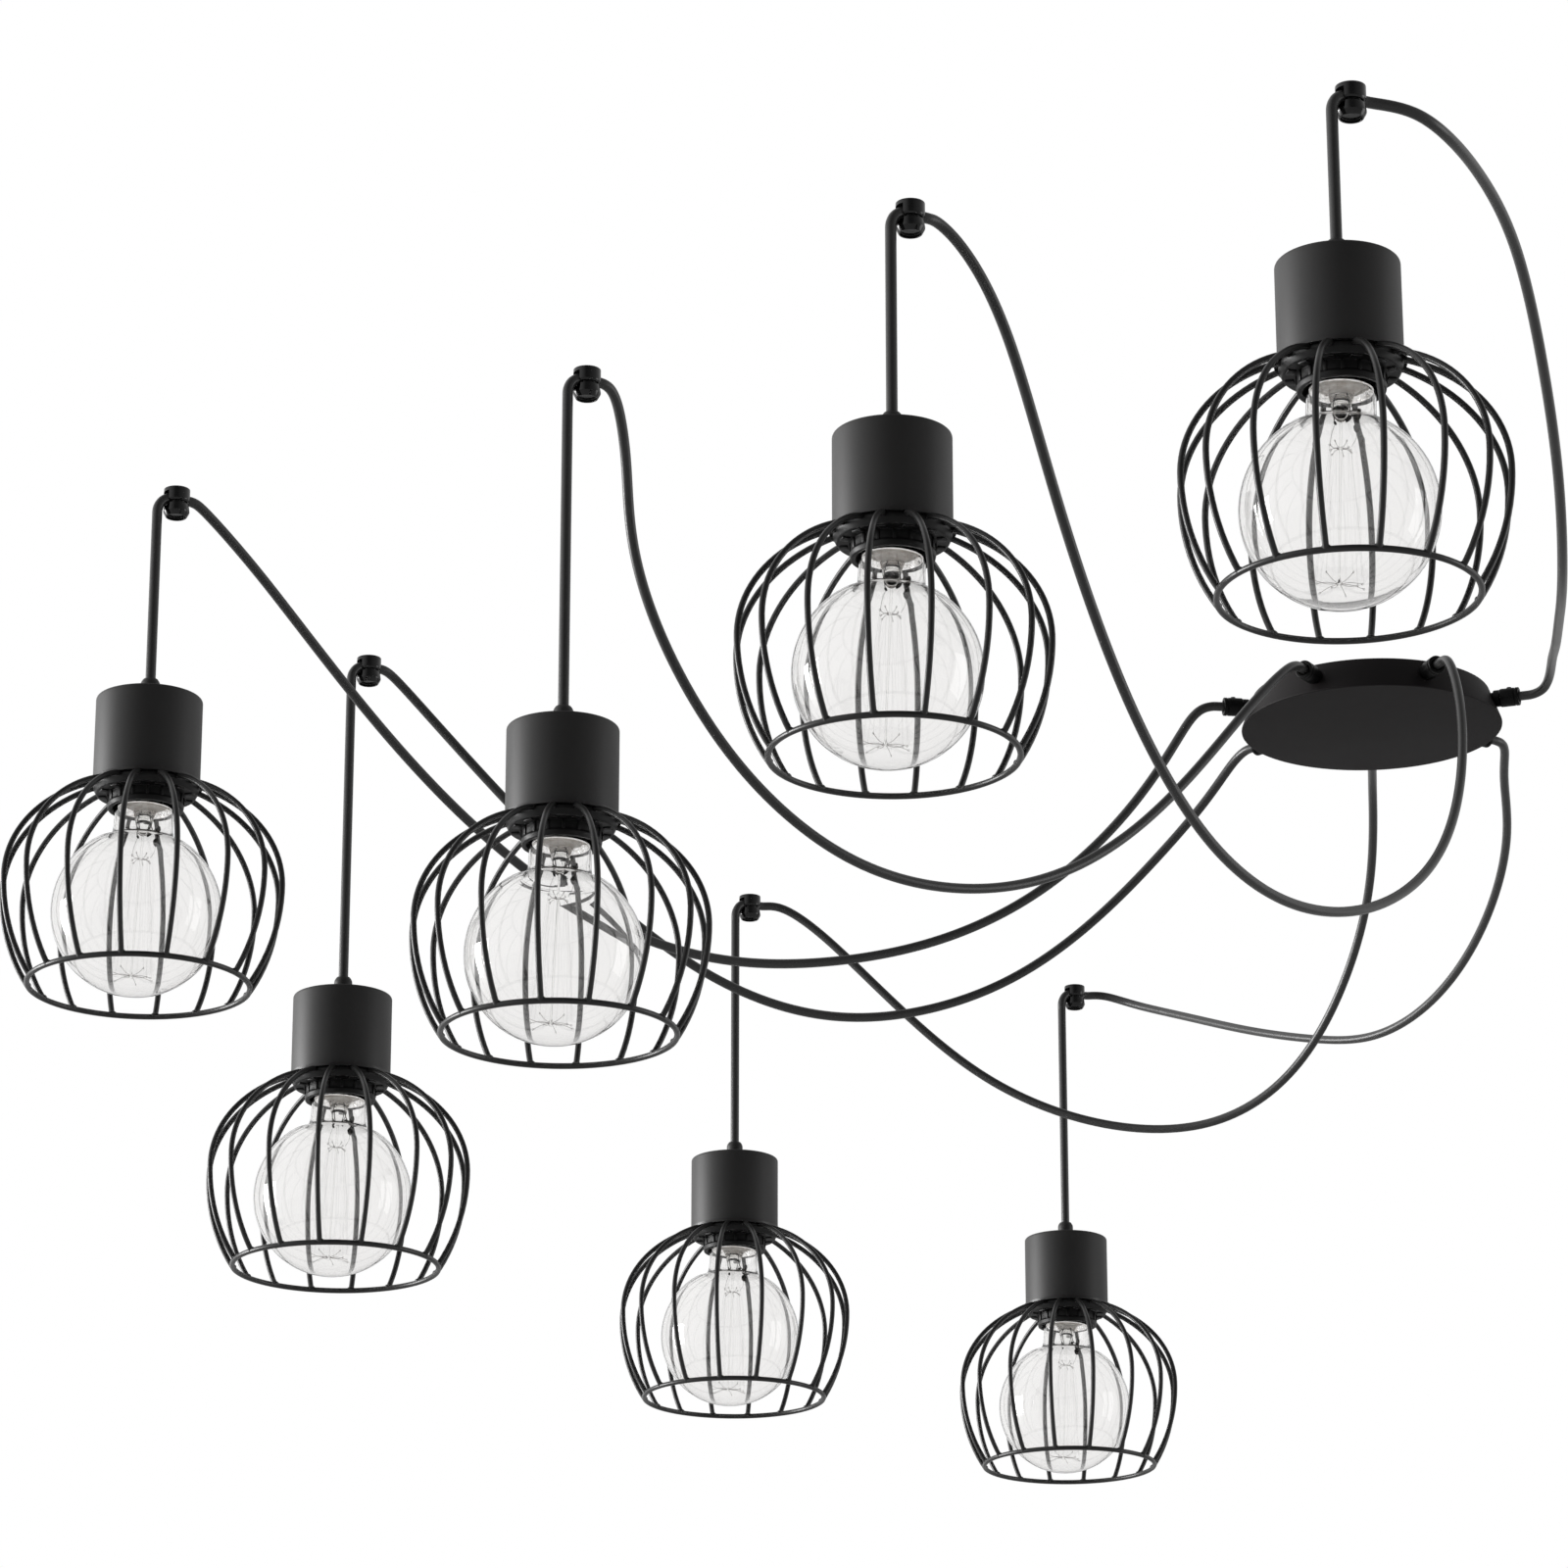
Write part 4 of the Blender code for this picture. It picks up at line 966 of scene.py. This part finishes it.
def seal_mesh():
    """The pale fused edge where the neck and the stem's flare meet, below the cement."""
    points = mm([
        (12.4, -11.6), (14.3, -12.2), (15.5, -14.8), (15.5, -16.0), (14.9, -16.4), (14.0, -15.2),
        (12.2, -12.6),
    ])
    profile = rounded(points, [0.3, 0.6, 0.3, 0.3, 0.5])
    return finish_mesh(lathe(profile, SMALL_STEPS, closed=True), "seal", 60.0)

# %% [markdown]
# ## Bulb: lead wires
#
# Two leads come out of the press and run to the upper star. On the way they are crimped into small dark
# plates, and a loose coil hangs beside them. These are the dark, uneven shapes in the neck. Each wire is
# a tube along a few listed points in millimetres. A crimp is a short tube whose radius swells.

# %% Lead metal
def lead_metal():
    """Dull grey-brown wire of the lamp's leads."""
    look = Look("lead_metal", (0.035, 0.032, 0.030), 0.40, 0.6)
    look.set("Roughness", look.noise(400.0, 3.0) * 0.3 + 0.28)
    return look.material


LEAD = lead_metal()

# %% Lead wires
LEAD_PATHS = (
    (
        [(2.4, -1.2, -17.0), (3.6, -0.8, -23.0), (5.2, -1.0, -27.6), (8.0, -0.8, -29.0), (7.4, -0.6, -35.5)],
        0.26,
    ),
    ([(7.4, -0.6, -35.5), (7.2, -0.4, -39.5), (5.2, 0.0, -43.6)], 0.08),
    ([(-2.0, 0.8, -17.0), (-3.4, -0.6, -24.0), (-3.4, -0.8, -28.5), (-2.8, -0.8, -32.6)], 0.24),
    ([(-2.8, -0.8, -32.6), (-4.2, -0.4, -37.0), (-5.2, 0.0, -43.6)], 0.08),
)
CRIMPS = (
    ((8.6, -0.8, -25.2), (7.6, -0.8, -30.6), 1.45), ((7.4, -0.8, -32.2), (7.8, -0.6, -36.6), 1.75),
    ((4.8, -0.8, -27.6), (2.4, -0.8, -31.2), 1.15), ((-3.2, -0.8, -31.0), (-2.2, -0.8, -32.8), 0.7),
)
CRIMP_SHARES = (0.5, 1.0, 0.85, 0.4)
COIL_POINTS = 49


def leads_mesh():
    """Lead wires from the press to the upper star, their crimps and a small loose coil."""
    shape = bmesh.new()
    for path, size in LEAD_PATHS:
        corners = [Vector(point) * MM for point in path]
        tube(shape, smooth_line([corners[0], *corners, corners[-1]], 6), size * MM, 8)
    for start, end, size in CRIMPS:
        low, high = Vector(end) * MM, Vector(start) * MM
        spots = [high, high.lerp(low, 0.3), high.lerp(low, 0.7), low]
        tube(shape, spots, [size * share * MM for share in CRIMP_SHARES], 12)
    coil = []
    for step in range(COIL_POINTS):
        turn = math.tau * step / 16
        x, y = 2.0 + 2.1 * math.cos(turn), -1.0 + 1.2 * math.sin(turn)
        coil.append(Vector((x, y, -22.6 - step * 0.045)) * MM)
    tube(shape, coil, 0.16 * MM, 6)
    return finish_mesh(shape, "leads")

# %% [markdown]
# ## Bulb: filament
#
# The filament is a squirrel cage: very fine strands that run up and down between two stars of support
# wires. The lower star is the wide one that shows from below. Strands are tubes too, with so few sides
# that all of them together stay light.

# %% Filament metal
def filament_metal():
    """Very thin dark tungsten."""
    look = Look("filament_metal", (0.16, 0.14, 0.125), 0.45, 0.5)
    look.set("Roughness", look.noise(500.0, 2.0) * 0.2 + 0.35)
    return look.material


FILAMENT = filament_metal()

# %% Filament and support wires
UPPER_STAR_RADIUS = 5.2 * MM
LOWER_STAR_RADIUS = 11.6 * MM
SPOKES = 11
SPOKE_WIRE = 0.11 * MM
EYE_WIRE = 0.09 * MM
EYE_RADIUS = 0.5 * MM
EYE_POINTS = 10
STRAND_WIRE = 0.015 * MM
STRAND_BULGE = 1.04


def spoke_way(index):
    """The level way of a support wire."""
    angle = math.tau * (index + 0.25) / SPOKES
    return Vector((math.cos(angle), math.sin(angle), 0.0))


def spoke_rise(index):
    """Spokes lean up and down in turn."""
    return (2.2 if index % 2 else -1.8) * MM


def filament_mesh():
    """Fine strands between two stars of support wires, each wire with a small eye at its end."""
    shape = bmesh.new()
    for star, reach in ((UPPER_STAR, UPPER_STAR_RADIUS), (LOWER_STAR, LOWER_STAR_RADIUS)):
        for index in range(SPOKES):
            rise, way = spoke_rise(index), spoke_way(index)
            start = Vector((0.0, 0.0, star)) + way * 0.9 * MM
            end = Vector((0.0, 0.0, star + rise)) + way * reach
            middle = start.lerp(end, 0.5) - Vector((0.0, 0.0, rise * 0.35))
            tube(shape, smooth_line([start, start, middle, end, end], 4), SPOKE_WIRE, 6)
            eye = []
            for step in range(EYE_POINTS):
                turn = step * math.tau / EYE_POINTS
                up = Vector((0.0, 0.0, EYE_RADIUS * math.sin(turn)))
                eye.append(end + up + way * EYE_RADIUS * math.cos(turn))
            tube(shape, eye, EYE_WIRE, 5, closed=True)
    for index in range(SPOKES * 2):
        start = spoke_way(index // 2) * UPPER_STAR_RADIUS
        end = spoke_way((index + 1) // 2) * LOWER_STAR_RADIUS
        start.z = UPPER_STAR + spoke_rise(index // 2)
        end.z = LOWER_STAR + 0.5 * MM
        middle = start.lerp(end, 0.5)
        middle.xy *= STRAND_BULGE
        tube(shape, smooth_line([start, start, middle, end, end], 5), STRAND_WIRE, 5)
    return finish_mesh(shape, "filament")

# %% [markdown]
# ## Seven pendants
#
# All pendants are alike, so each mesh is made once and copied to its place. Each pendant is turned a
# little round its cable, as hanging lamps are. Each globe also leans a little to the left below its cap,
# as in the photograph, with all that the glass holds. The cap stays straight in the holder.

# %% Place the pendants
PENDANT_TURNS = [math.radians(turn) for turn in (-4.0, 1.0, 5.0, 9.0, 7.0, 3.0, -1.0)]
BULB_LEAN = math.radians(2.4)
BULB_PIVOT = -0.0098

PENDANT_PIECES = (
    ("cover", cover_mesh(), POWDER, "metal_black", "holder_cover"),
    ("nipple", nipple_mesh(), POWDER, "metal_black", None),
    ("holder", holder_mesh(), HOLDER, "plastic_black", "lamp_holder"),
    ("cage", cage_mesh(), WIRE, "metal_black", "wire_cage"),
)
BULB_PIECES = (
    ("globe", globe_mesh(), GLASS, "glass", "globe_bulb"),
    ("cap", cap_mesh(), CAP, "zinc", None),
    ("stem", stem_mesh(), STEM, "glass", None),
    ("collar", collar_mesh(), CEMENT, "zinc", None),
    ("seal", seal_mesh(), SEAL, "glass", None),
    ("leads", leads_mesh(), LEAD, "zinc", None),
    ("filament", filament_mesh(), FILAMENT, "zinc", None),
)

pivot = Matrix.Translation((0.0, 0.0, BULB_PIVOT))
lean = pivot @ Matrix.Rotation(BULB_LEAN, 4, "Y") @ pivot.inverted()
for k in range(COUNT):
    number = k + 1
    place = Matrix.Translation(edge_place(k))
    turn = Matrix.Rotation(PENDANT_TURNS[k], 4, "Z")
    for body, pieces in (("pendant", PENDANT_PIECES), ("bulb", BULB_PIECES)):
        for name, mesh, look, slot_name, node in pieces:
            leans = body == "bulb" and name != "cap"
            spot = place @ lean @ turn if leans else place @ turn
            nodes = [f"{node}_{number}"] if node else ()
            put(f"{name}_{number}", mesh, f"{body}_{number}", look, nodes, spot)
print(COUNT * (len(PENDANT_PIECES) + len(BULB_PIECES)), "pieces on the pendants and bulbs")

# %% [markdown]
# ## Ceiling hooks
#
# A hook is a small glossy cylinder with a slot for the cable and a clamping knob below it. Knob and body
# are turned as one profile with a deep gap between them, because the gap's shadow is what tells them
# apart. The slot runs across the body, and half a groove lets the cable out downwards. Both are cut by a
# Boolean, which leaves the clean, sharp edges of a moulded slot.

# %% Glossy plastic
def gloss_plastic():
    """Glossy black plastic of the ceiling hooks."""
    look = Look("gloss_plastic", (0.006, 0.006, 0.0062), 0.14)
    cloud = look.noise(260.0, 3.0)
    look.set("Roughness", cloud * 0.10 + 0.06)
    look.bump(cloud, 0.06, 0.00008)
    return look.material


GLOSS = gloss_plastic()

# %% Ceiling hook
HOOK_KNOB_RADIUS = 0.0070
HOOK_KNOB_HEIGHT = 0.0082
SLOT_OVERRUN = 2 * MM
GROOVE_DEPTH = 4.5 * MM


def hook_mesh():
    """Hook turned in one piece, then slotted; its clamping knob bulges a little and is dished below."""
    low = -KNOB_TOP - HOOK_KNOB_HEIGHT
    top = HOOK_KNOB_RADIUS + 0.1 * MM
    points = [
        (0.0, 0.0), (HOOK_RADIUS, 0.0), (HOOK_RADIUS, 1.5 * MM - KNOB_TOP),
        (HOOK_RADIUS - 0.7 * MM, 0.5 * MM - KNOB_TOP), (top - 1.6 * MM, 0.4 * MM - KNOB_TOP),
        (top - 1.6 * MM, -0.4 * MM - KNOB_TOP), (top - 0.2 * MM, -0.9 * MM - KNOB_TOP),
        (HOOK_RADIUS + 0.1 * MM, low + 2.9 * MM), (HOOK_RADIUS - 1.5 * MM, low),
        (HOOK_RADIUS - 2.1 * MM, low), (HOOK_RADIUS - 2.3 * MM, low + 1.6 * MM), (0.0, low + 1.8 * MM),
    ]
    profile = rounded(points, [0.35, 0.5, 0.2, 0.05, 0.05, 0.4, 0.7, 0.4, 0.3, 0.3], 5)
    mesh = finish_mesh(lathe(profile, SMALL_STEPS), "hook")
    slot = bmesh.new()
    half = CABLE_RADIUS + GAP
    reach = HOOK_RADIUS + SLOT_OVERRUN
    slot_centre = Vector((0.0, 0.0, -(KNOB_TOP + SLOT_CEILING) / 2))
    add_box(slot, slot_centre, (reach * 2, half * 2, KNOB_TOP - SLOT_CEILING), SLOT_ANGLE)
    groove = bmesh.new()
    groove_low = -KNOB_TOP - GROOVE_DEPTH
    groove_centre = Vector(((CABLE_BEND_START + reach) / 2, 0.0, (groove_low - KNOB_TOP / 2) / 2))
    groove_size = (reach - CABLE_BEND_START, half * 2, -KNOB_TOP / 2 - groove_low)
    add_box(groove, groove_centre, groove_size, SLOT_ANGLE)
    return cut(cut(mesh, slot, "hook_slotted"), groove, "hook")

# %% [markdown]
# ## Cable grips
#
# Seven grips stand on the canopy's rim and hold the cables against a pull. Each has a narrower foot, a
# plain body, a mouth round the cable and a small clamp screw on top, and inside the canopy its nut. The
# profile is drawn along the way the grip points, spun upright and then laid on its side.

# %% Grip plastic
def grip_plastic():
    """Black moulded plastic of the cable grips."""
    look = Look("grip_plastic", (0.0045, 0.0045, 0.0048), 0.36)
    cloud = look.noise(200.0, 3.0)
    look.set("Roughness", cloud * 0.16 + 0.30)
    look.set("Specular IOR Level", 0.16)
    look.set("Base Color", look.blend(cloud, (0.0020, 0.0020, 0.0021), (0.0036, 0.0035, 0.0035)))
    look.bump(look.noise(1400.0, 2.0), 0.15, 0.00004)
    return look.material


GRIP = grip_plastic()

# %% Cable grip
CANOPY_WALL = 0.0012
GRIP_RADIUS = 0.0058
GRIP_STEM_RADIUS = 0.0040
GRIP_NUT_RADIUS = 5.6 * MM
GRIP_SCREW_RADIUS = 1.6 * MM
GRIP_STEPS = 48


def grip_screw():
    """The clamp screw's head, to the -X side of the upright grip, which is its top once it is laid down."""
    low, high = GRIP_RADIUS - 0.8 * MM, GRIP_RADIUS + 0.6 * MM
    points = [(0.0, high), (GRIP_SCREW_RADIUS, high), (GRIP_SCREW_RADIUS, low), (0.0, low)]
    screw = lathe(rounded(points, [0.25, 0.25], 3), ROD_STEPS)
    lay = Matrix.Rotation(-math.pi / 2, 3, "Y")
    bmesh.ops.rotate(screw, verts=screw.verts, cent=(0.0, 0.0, 0.0), matrix=lay)
    return screw


def grip_mesh():
    """Cable grip along +X: narrower foot on the rim, plain body, mouth, clamp screw, and the nut."""
    rim = rim_radius(GRIP_DEPTH)
    reach = rim + GRIP_OUTSIDE
    nut = rim - CANOPY_WALL - GAP * 2 - 4.6 * MM
    foot = GRIP_RADIUS - 0.5 * MM
    mouth = CABLE_RADIUS + 0.15 * MM
    points = [
        (0.0, nut), (GRIP_NUT_RADIUS, nut), (GRIP_NUT_RADIUS, nut + 3.3 * MM),
        (GRIP_STEM_RADIUS, nut + 3.4 * MM), (GRIP_STEM_RADIUS, rim + 0.2 * MM), (foot, rim + 0.8 * MM),
        (foot, rim + 4.6 * MM), (GRIP_RADIUS, rim + 5.2 * MM), (GRIP_RADIUS, reach - 3.0 * MM),
        (foot, reach - 2.8 * MM), (foot, reach - 2.4 * MM), (GRIP_RADIUS, reach - 2.2 * MM),
        (GRIP_RADIUS, reach), (mouth + 0.9 * MM, reach), (mouth + 0.6 * MM, reach - 0.9 * MM),
        (mouth, reach - 1.1 * MM), (mouth, reach - 4 * MM), (0.0, reach - 4 * MM),
    ]
    sizes = [0.4, 0.4, 0.1, 0.1, 0.2, 0.3, 0.3, 0.2, 0.2, 0.1, 0.1, 0.6, 0.2, 0.2, 0.2, 0.1]
    shape = lathe(rounded(points, sizes, 3), GRIP_STEPS)
    screw = grip_screw()
    bmesh.ops.translate(screw, verts=screw.verts, vec=(0.0, 0.0, reach - 6.4 * MM))
    part = bpy.data.meshes.new("screw")
    screw.to_mesh(part)
    screw.free()
    shape.from_mesh(part)
    bpy.data.meshes.remove(part)
    mesh = finish_mesh(shape, "grip")
    mesh.transform(Matrix.Translation(DOWN * GRIP_DEPTH) @ Matrix.Rotation(math.pi / 2, 4, "Y"))
    return mesh

# %% [markdown]
# ## Canopy cover
#
# The canopy is a shallow cup pressed from steel sheet, a little wider at its lower face, with a softly
# rolled edge between face and side. It wears the same coat as the covers, duller, and with painted shade:
# its colour is made darker, as its face turns down, away from the light. It is spun as a profile, and the
# holes for the seven grips and the two set screws are cut by rods laid across its side.

# %% Canopy coat with painted shade
def canopy_coat_painted_shade():
    """The same black coat on the canopy, finer and duller, its colour darkened as painted shade."""
    look = Look("canopy_coat_painted_shade", (0.012, 0.0115, 0.0118), 0.62)
    grain = look.noise(2200.0, 2.0)
    cloud = look.noise(14.0, 3.0)
    # These colours are darker than the covers' coat: painted shade for the face that turns down.
    look.set("Base Color", look.blend(cloud, (0.0074, 0.0060, 0.0065), (0.0112, 0.0092, 0.0096)))
    look.set("Roughness", cloud * 0.10 + grain * 0.08 + 0.50)
    look.set("Specular IOR Level", 0.19)
    look.bump(grain, 0.20, 0.00004)
    return look.material


CANOPY = canopy_coat_painted_shade()

# %% Canopy cover
CANOPY_STEPS = 144
HOLE_STEPS = 24
SET_SCREW_DEPTH = 12.5 * MM
SET_SCREW_HOLE = 2.5 * MM


def canopy_mesh():
    """Pressed cup with a softly rolled face edge; holes for the grips and the two set screws."""
    inner_face = CANOPY_HEIGHT - CANOPY_WALL
    points = [
        (0.0, -inner_face), (rim_radius(inner_face) - CANOPY_WALL, -inner_face),
        (CANOPY_TOP_RADIUS - CANOPY_WALL, 0.0), (CANOPY_TOP_RADIUS, 0.0),
        (CANOPY_FACE_RADIUS, -CANOPY_HEIGHT), (0.0, -CANOPY_HEIGHT),
    ]
    mesh = finish_mesh(lathe(rounded(points, [0.8, 0.3, 0.3, 1.3], 5), CANOPY_STEPS), "canopy")
    screw_way = Vector((math.cos(BRACKET_TURN), math.sin(BRACKET_TURN), 0.0))
    holes = [(grip_way(index), GRIP_DEPTH, GRIP_STEM_RADIUS + GAP) for index in range(COUNT)]
    holes += [(screw_way * side, SET_SCREW_DEPTH, SET_SCREW_HOLE) for side in (-1.0, 1.0)]
    inner = CANOPY_TOP_RADIUS - 8 * MM
    outer = CANOPY_FACE_RADIUS + 4 * MM
    rods = bmesh.new()
    for way, depth, radius in holes:
        tube(rods, [way * inner + DOWN * depth, way * outer + DOWN * depth], radius, HOLE_STEPS)
    return cut(mesh, rods, "canopy")

# %% Place canopy, hooks and grips
put("canopy", canopy_mesh(), "ceiling", CANOPY, ["canopy_cover"])
hook_shape = hook_mesh()
grip_shape = grip_mesh()
for k in range(COUNT):
    number = k + 1
    spot = Matrix.Translation(hook_place(k))
    hook_node = [f"ceiling_hook_{number}"]
    put(f"hook_{number}", hook_shape, "ceiling", GLOSS, hook_node, spot)
    turn = Matrix.Rotation(grip_angle(k), 4, "Z")
    put(f"grip_{number}", grip_shape, "ceiling", GRIP, [f"cable_grip_{number}"], turn)
print("canopy with", COUNT, "hooks and", COUNT, "grips")

# %% [markdown]
# ## Inside the canopy
#
# The bracket, terminal block and earth screw have the right shape in the CAD part, so they stay and only
# get materials: zinc-plated strip with its rolling marks, off-white plastic and brass. Two short cores
# run from each grip to the block. They show only from above, where the ceiling would hide them, so a
# plain tube along a smooth line is enough.

# %% Zinc, brass and block plastic
def zinc_plate():
    """Zinc-plated strip steel with faint spangle and rolling marks."""
    look = Look("zinc_plate", (0.56, 0.57, 0.59), 0.38, 1.0)
    cloud = look.noise(160.0, 4.0)
    drawn = look.noise(300.0, 3.0, stretch=(0.06, 1.0, 1.0))
    look.set("Base Color", look.blend(cloud, (0.47, 0.48, 0.50), (0.66, 0.66, 0.66)))
    look.set("Roughness", cloud * 0.18 + drawn * 0.14 + 0.22)
    look.bump(drawn, 0.12, 0.00006)
    return look.material


def brass_metal():
    """Plain brass with a light tarnish."""
    look = Look("brass_metal", (0.60, 0.43, 0.17), 0.32, 1.0)
    cloud = look.noise(300.0, 4.0)
    look.set("Base Color", look.blend(cloud, (0.50, 0.34, 0.13), (0.68, 0.50, 0.22)))
    look.set("Roughness", cloud * 0.22 + 0.20)
    return look.material


def block_plastic():
    """Off-white moulded terminal block."""
    look = Look("block_plastic", (0.74, 0.73, 0.69), 0.42)
    cloud = look.noise(110.0, 3.0)
    look.set("Base Color", look.blend(cloud, (0.70, 0.69, 0.64), (0.78, 0.77, 0.73)))
    look.set("Roughness", cloud * 0.15 + 0.36)
    look.bump(look.noise(900.0, 2.0), 0.10, 0.00005)
    return look.material


INSIDE_LOOKS = {
    "mounting_bracket": zinc_plate(), "terminal_block": block_plastic(), "earth_screw": brass_metal(),
}
for node, look in INSIDE_LOOKS.items():
    for material_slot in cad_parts[node].material_slots:
        material_slot.material = look

# %% Cores of the cables
def core_plastic(name, colour):
    """Coloured insulation of a single core."""
    look = Look(name, colour, 0.38)
    look.set("Roughness", look.noise(300.0, 3.0) * 0.15 + 0.30)
    return look.material


CORE_RADIUS = 0.95 * MM
CORE_START = 67
CORE_SHIFT = 1.2 * MM


def core_wires(name, look, offset, reach_in):
    """One core from each grip to the terminal block, in one piece."""
    shape = bmesh.new()
    block = Matrix.Rotation(BRACKET_TURN, 4, "Z")
    for index in range(COUNT):
        way = grip_way(index)
        across = Vector((-way.y, way.x, 0.0))
        start = way * CORE_START * MM + across * offset + DOWN * GRIP_DEPTH
        side = 1.0 if way.y > 0 else -1.0
        pole = block @ Vector(((21 + reach_in) * MM, side * 8.4 * MM, -8.3 * MM))
        knee = start.lerp(pole, 0.45) + DOWN * (3.5 * MM) + across * offset
        near = pole + Vector((0.0, side * 9 * MM, -2.0 * MM))
        if way.x < -0.2:
            knee += Vector((0.0, side * 12 * MM, 0.0))
        tube(shape, smooth_line([start, start, knee, near, pole, pole], 7), CORE_RADIUS, 8)
    put(name, finish_mesh(shape, name), "ceiling", look, share=True)


BROWN_CORE = core_plastic("brown_core", (0.16, 0.055, 0.025))
BLUE_CORE = core_plastic("blue_core", (0.03, 0.10, 0.36))
core_wires("brown_cores", BROWN_CORE, CORE_SHIFT, 10.0)
core_wires("blue_cores", BLUE_CORE, -CORE_SHIFT, -10.0)

# %% [markdown]
# ## Stage: pale floor and white surroundings
#
# The photograph has a plain white background. More light would wash the lamp out, so the white is only
# for the eye: where the camera looks, also through glass, floor and world show white at strength 1. For
# the light on the lamp they are dimmer, and the world is darker on the camera's side, which keeps the
# black surfaces black.

# %% Pale floor
FLOOR_DEPTH = -1.75
FLOOR_PLACE = (-0.3, 0.0, FLOOR_DEPTH)
FLOOR_HALF = 9.0


def seen_ray(tree):
    """1 for what the camera sees, straight or through glass."""
    path = add_node(tree, "ShaderNodeLightPath")
    seen = Value(tree, path.outputs["Is Camera Ray"])
    return seen.math("MAXIMUM", Value(tree, path.outputs["Is Transmission Ray"]))


def pale_material():
    """Pale and dull for the light, plain white for the eye."""
    look = Look("pale_floor", (0.60, 0.60, 0.60), 0.9)
    glow = look.node("ShaderNodeEmission", color=(1.0, 1.0, 1.0, 1.0), strength=1.0)
    mix = look.node("ShaderNodeMixShader")
    output = look.tree.nodes["Material Output"]
    feed(look.tree, mix.inputs[0], seen_ray(look.tree))
    look.tree.links.new(look.shader.outputs[0], mix.inputs[1])
    look.tree.links.new(glow.outputs[0], mix.inputs[2])
    look.tree.links.new(mix.outputs[0], output.inputs["Surface"])
    return look.material


floor_shape = bmesh.new()
bmesh.ops.create_grid(floor_shape, x_segments=1, y_segments=1, size=FLOOR_HALF)
floor = bpy.data.objects.new("floor", finish_mesh(floor_shape, "floor"))
floor.location = FLOOR_PLACE
floor.data.materials.append(pale_material())
bpy.context.scene.collection.objects.link(floor)

# %% White world with a dim side
LEFT_LEVEL = 0.95
RIGHT_LEVEL = 0.30
BEHIND_LEVEL = 0.42
BEHIND_LEFT_LEVEL = 0.5
LOWEST_LEVEL = 0.11


def studio_world():
    """White to the eye and through glass; its light on the object is dimmer from the camera's side."""
    world = bpy.data.worlds.new("studio")
    world.use_nodes = True
    bpy.context.scene.world = world
    tree = world.node_tree
    tree.nodes.clear()
    way = Value(tree, add_node(tree, "ShaderNodeTexCoord").outputs["Generated"])
    split = add_node(tree, "ShaderNodeSeparateXYZ", vector=way)
    across = Value(tree, split.outputs["X"])
    along = Value(tree, split.outputs["Y"])
    left = (across * -1.0).ramp(0.15, 0.95)
    right = across.ramp(0.25, 1.0)
    behind = along.ramp(-0.25, 0.6)
    level = left * LEFT_LEVEL + right * RIGHT_LEVEL
    level = level + behind * (left * BEHIND_LEFT_LEVEL + BEHIND_LEVEL) + LOWEST_LEVEL
    seen = seen_ray(tree)
    strength = level * (1.0 - seen) + seen
    background = add_node(
        tree, "ShaderNodeBackground", color=(1.0, 1.0, 1.0, 1.0), strength=strength.math("MINIMUM", 1.0),
    )
    add_node(tree, "ShaderNodeOutputWorld", surface=Value(tree, background.outputs[0]))


studio_world()
print("world:", bpy.context.scene.world.name)

# %% [markdown]
# ## Soft studio light
#
# The large softbox on the left gives the bright left edges of covers, wires and cables, and a weak one on
# the right keeps the right edges from going black. Clear glass would mirror a softbox as a hard white
# shape, so each lamp is dimmed for mirror-like rays, and it is hidden from rays that come from the camera
# or through glass.

# %% Two softboxes
LAMP_TARGET = (-0.33, -0.1, -0.2)
SOFTBOX_MIRRORED = 0.05


def softbox(name, place, size, power):
    """A soft rectangle of light; in clear glass only a faint picture of it shows."""
    data = bpy.data.lights.new(name, "AREA")
    data.shape = "RECTANGLE"
    data.size, data.size_y = size
    data.energy = power
    data.use_nodes = True
    tree = data.node_tree
    path = add_node(tree, "ShaderNodeLightPath")
    share = Value(tree, path.outputs["Is Singular Ray"]) * (SOFTBOX_MIRRORED - 1.0) + 1.0
    feed(tree, tree.nodes["Emission"].inputs["Strength"], share)
    lamp = bpy.data.objects.new(name, data)
    aim = Vector(LAMP_TARGET) - Vector(place)
    lamp.location = place
    lamp.rotation_euler = aim.to_track_quat("-Z", "Y").to_euler()
    lamp.visible_camera = False
    lamp.visible_transmission = False
    bpy.context.scene.collection.objects.link(lamp)


softbox("left_softbox", (-9.2, 1.5, 0.2), (4.4, 3.8), 830.0)
softbox("right_softbox", (4.6, -0.2, -0.3), (2.0, 3.2), 34.0)
bpy.context.scene.view_settings.view_transform = "Standard"
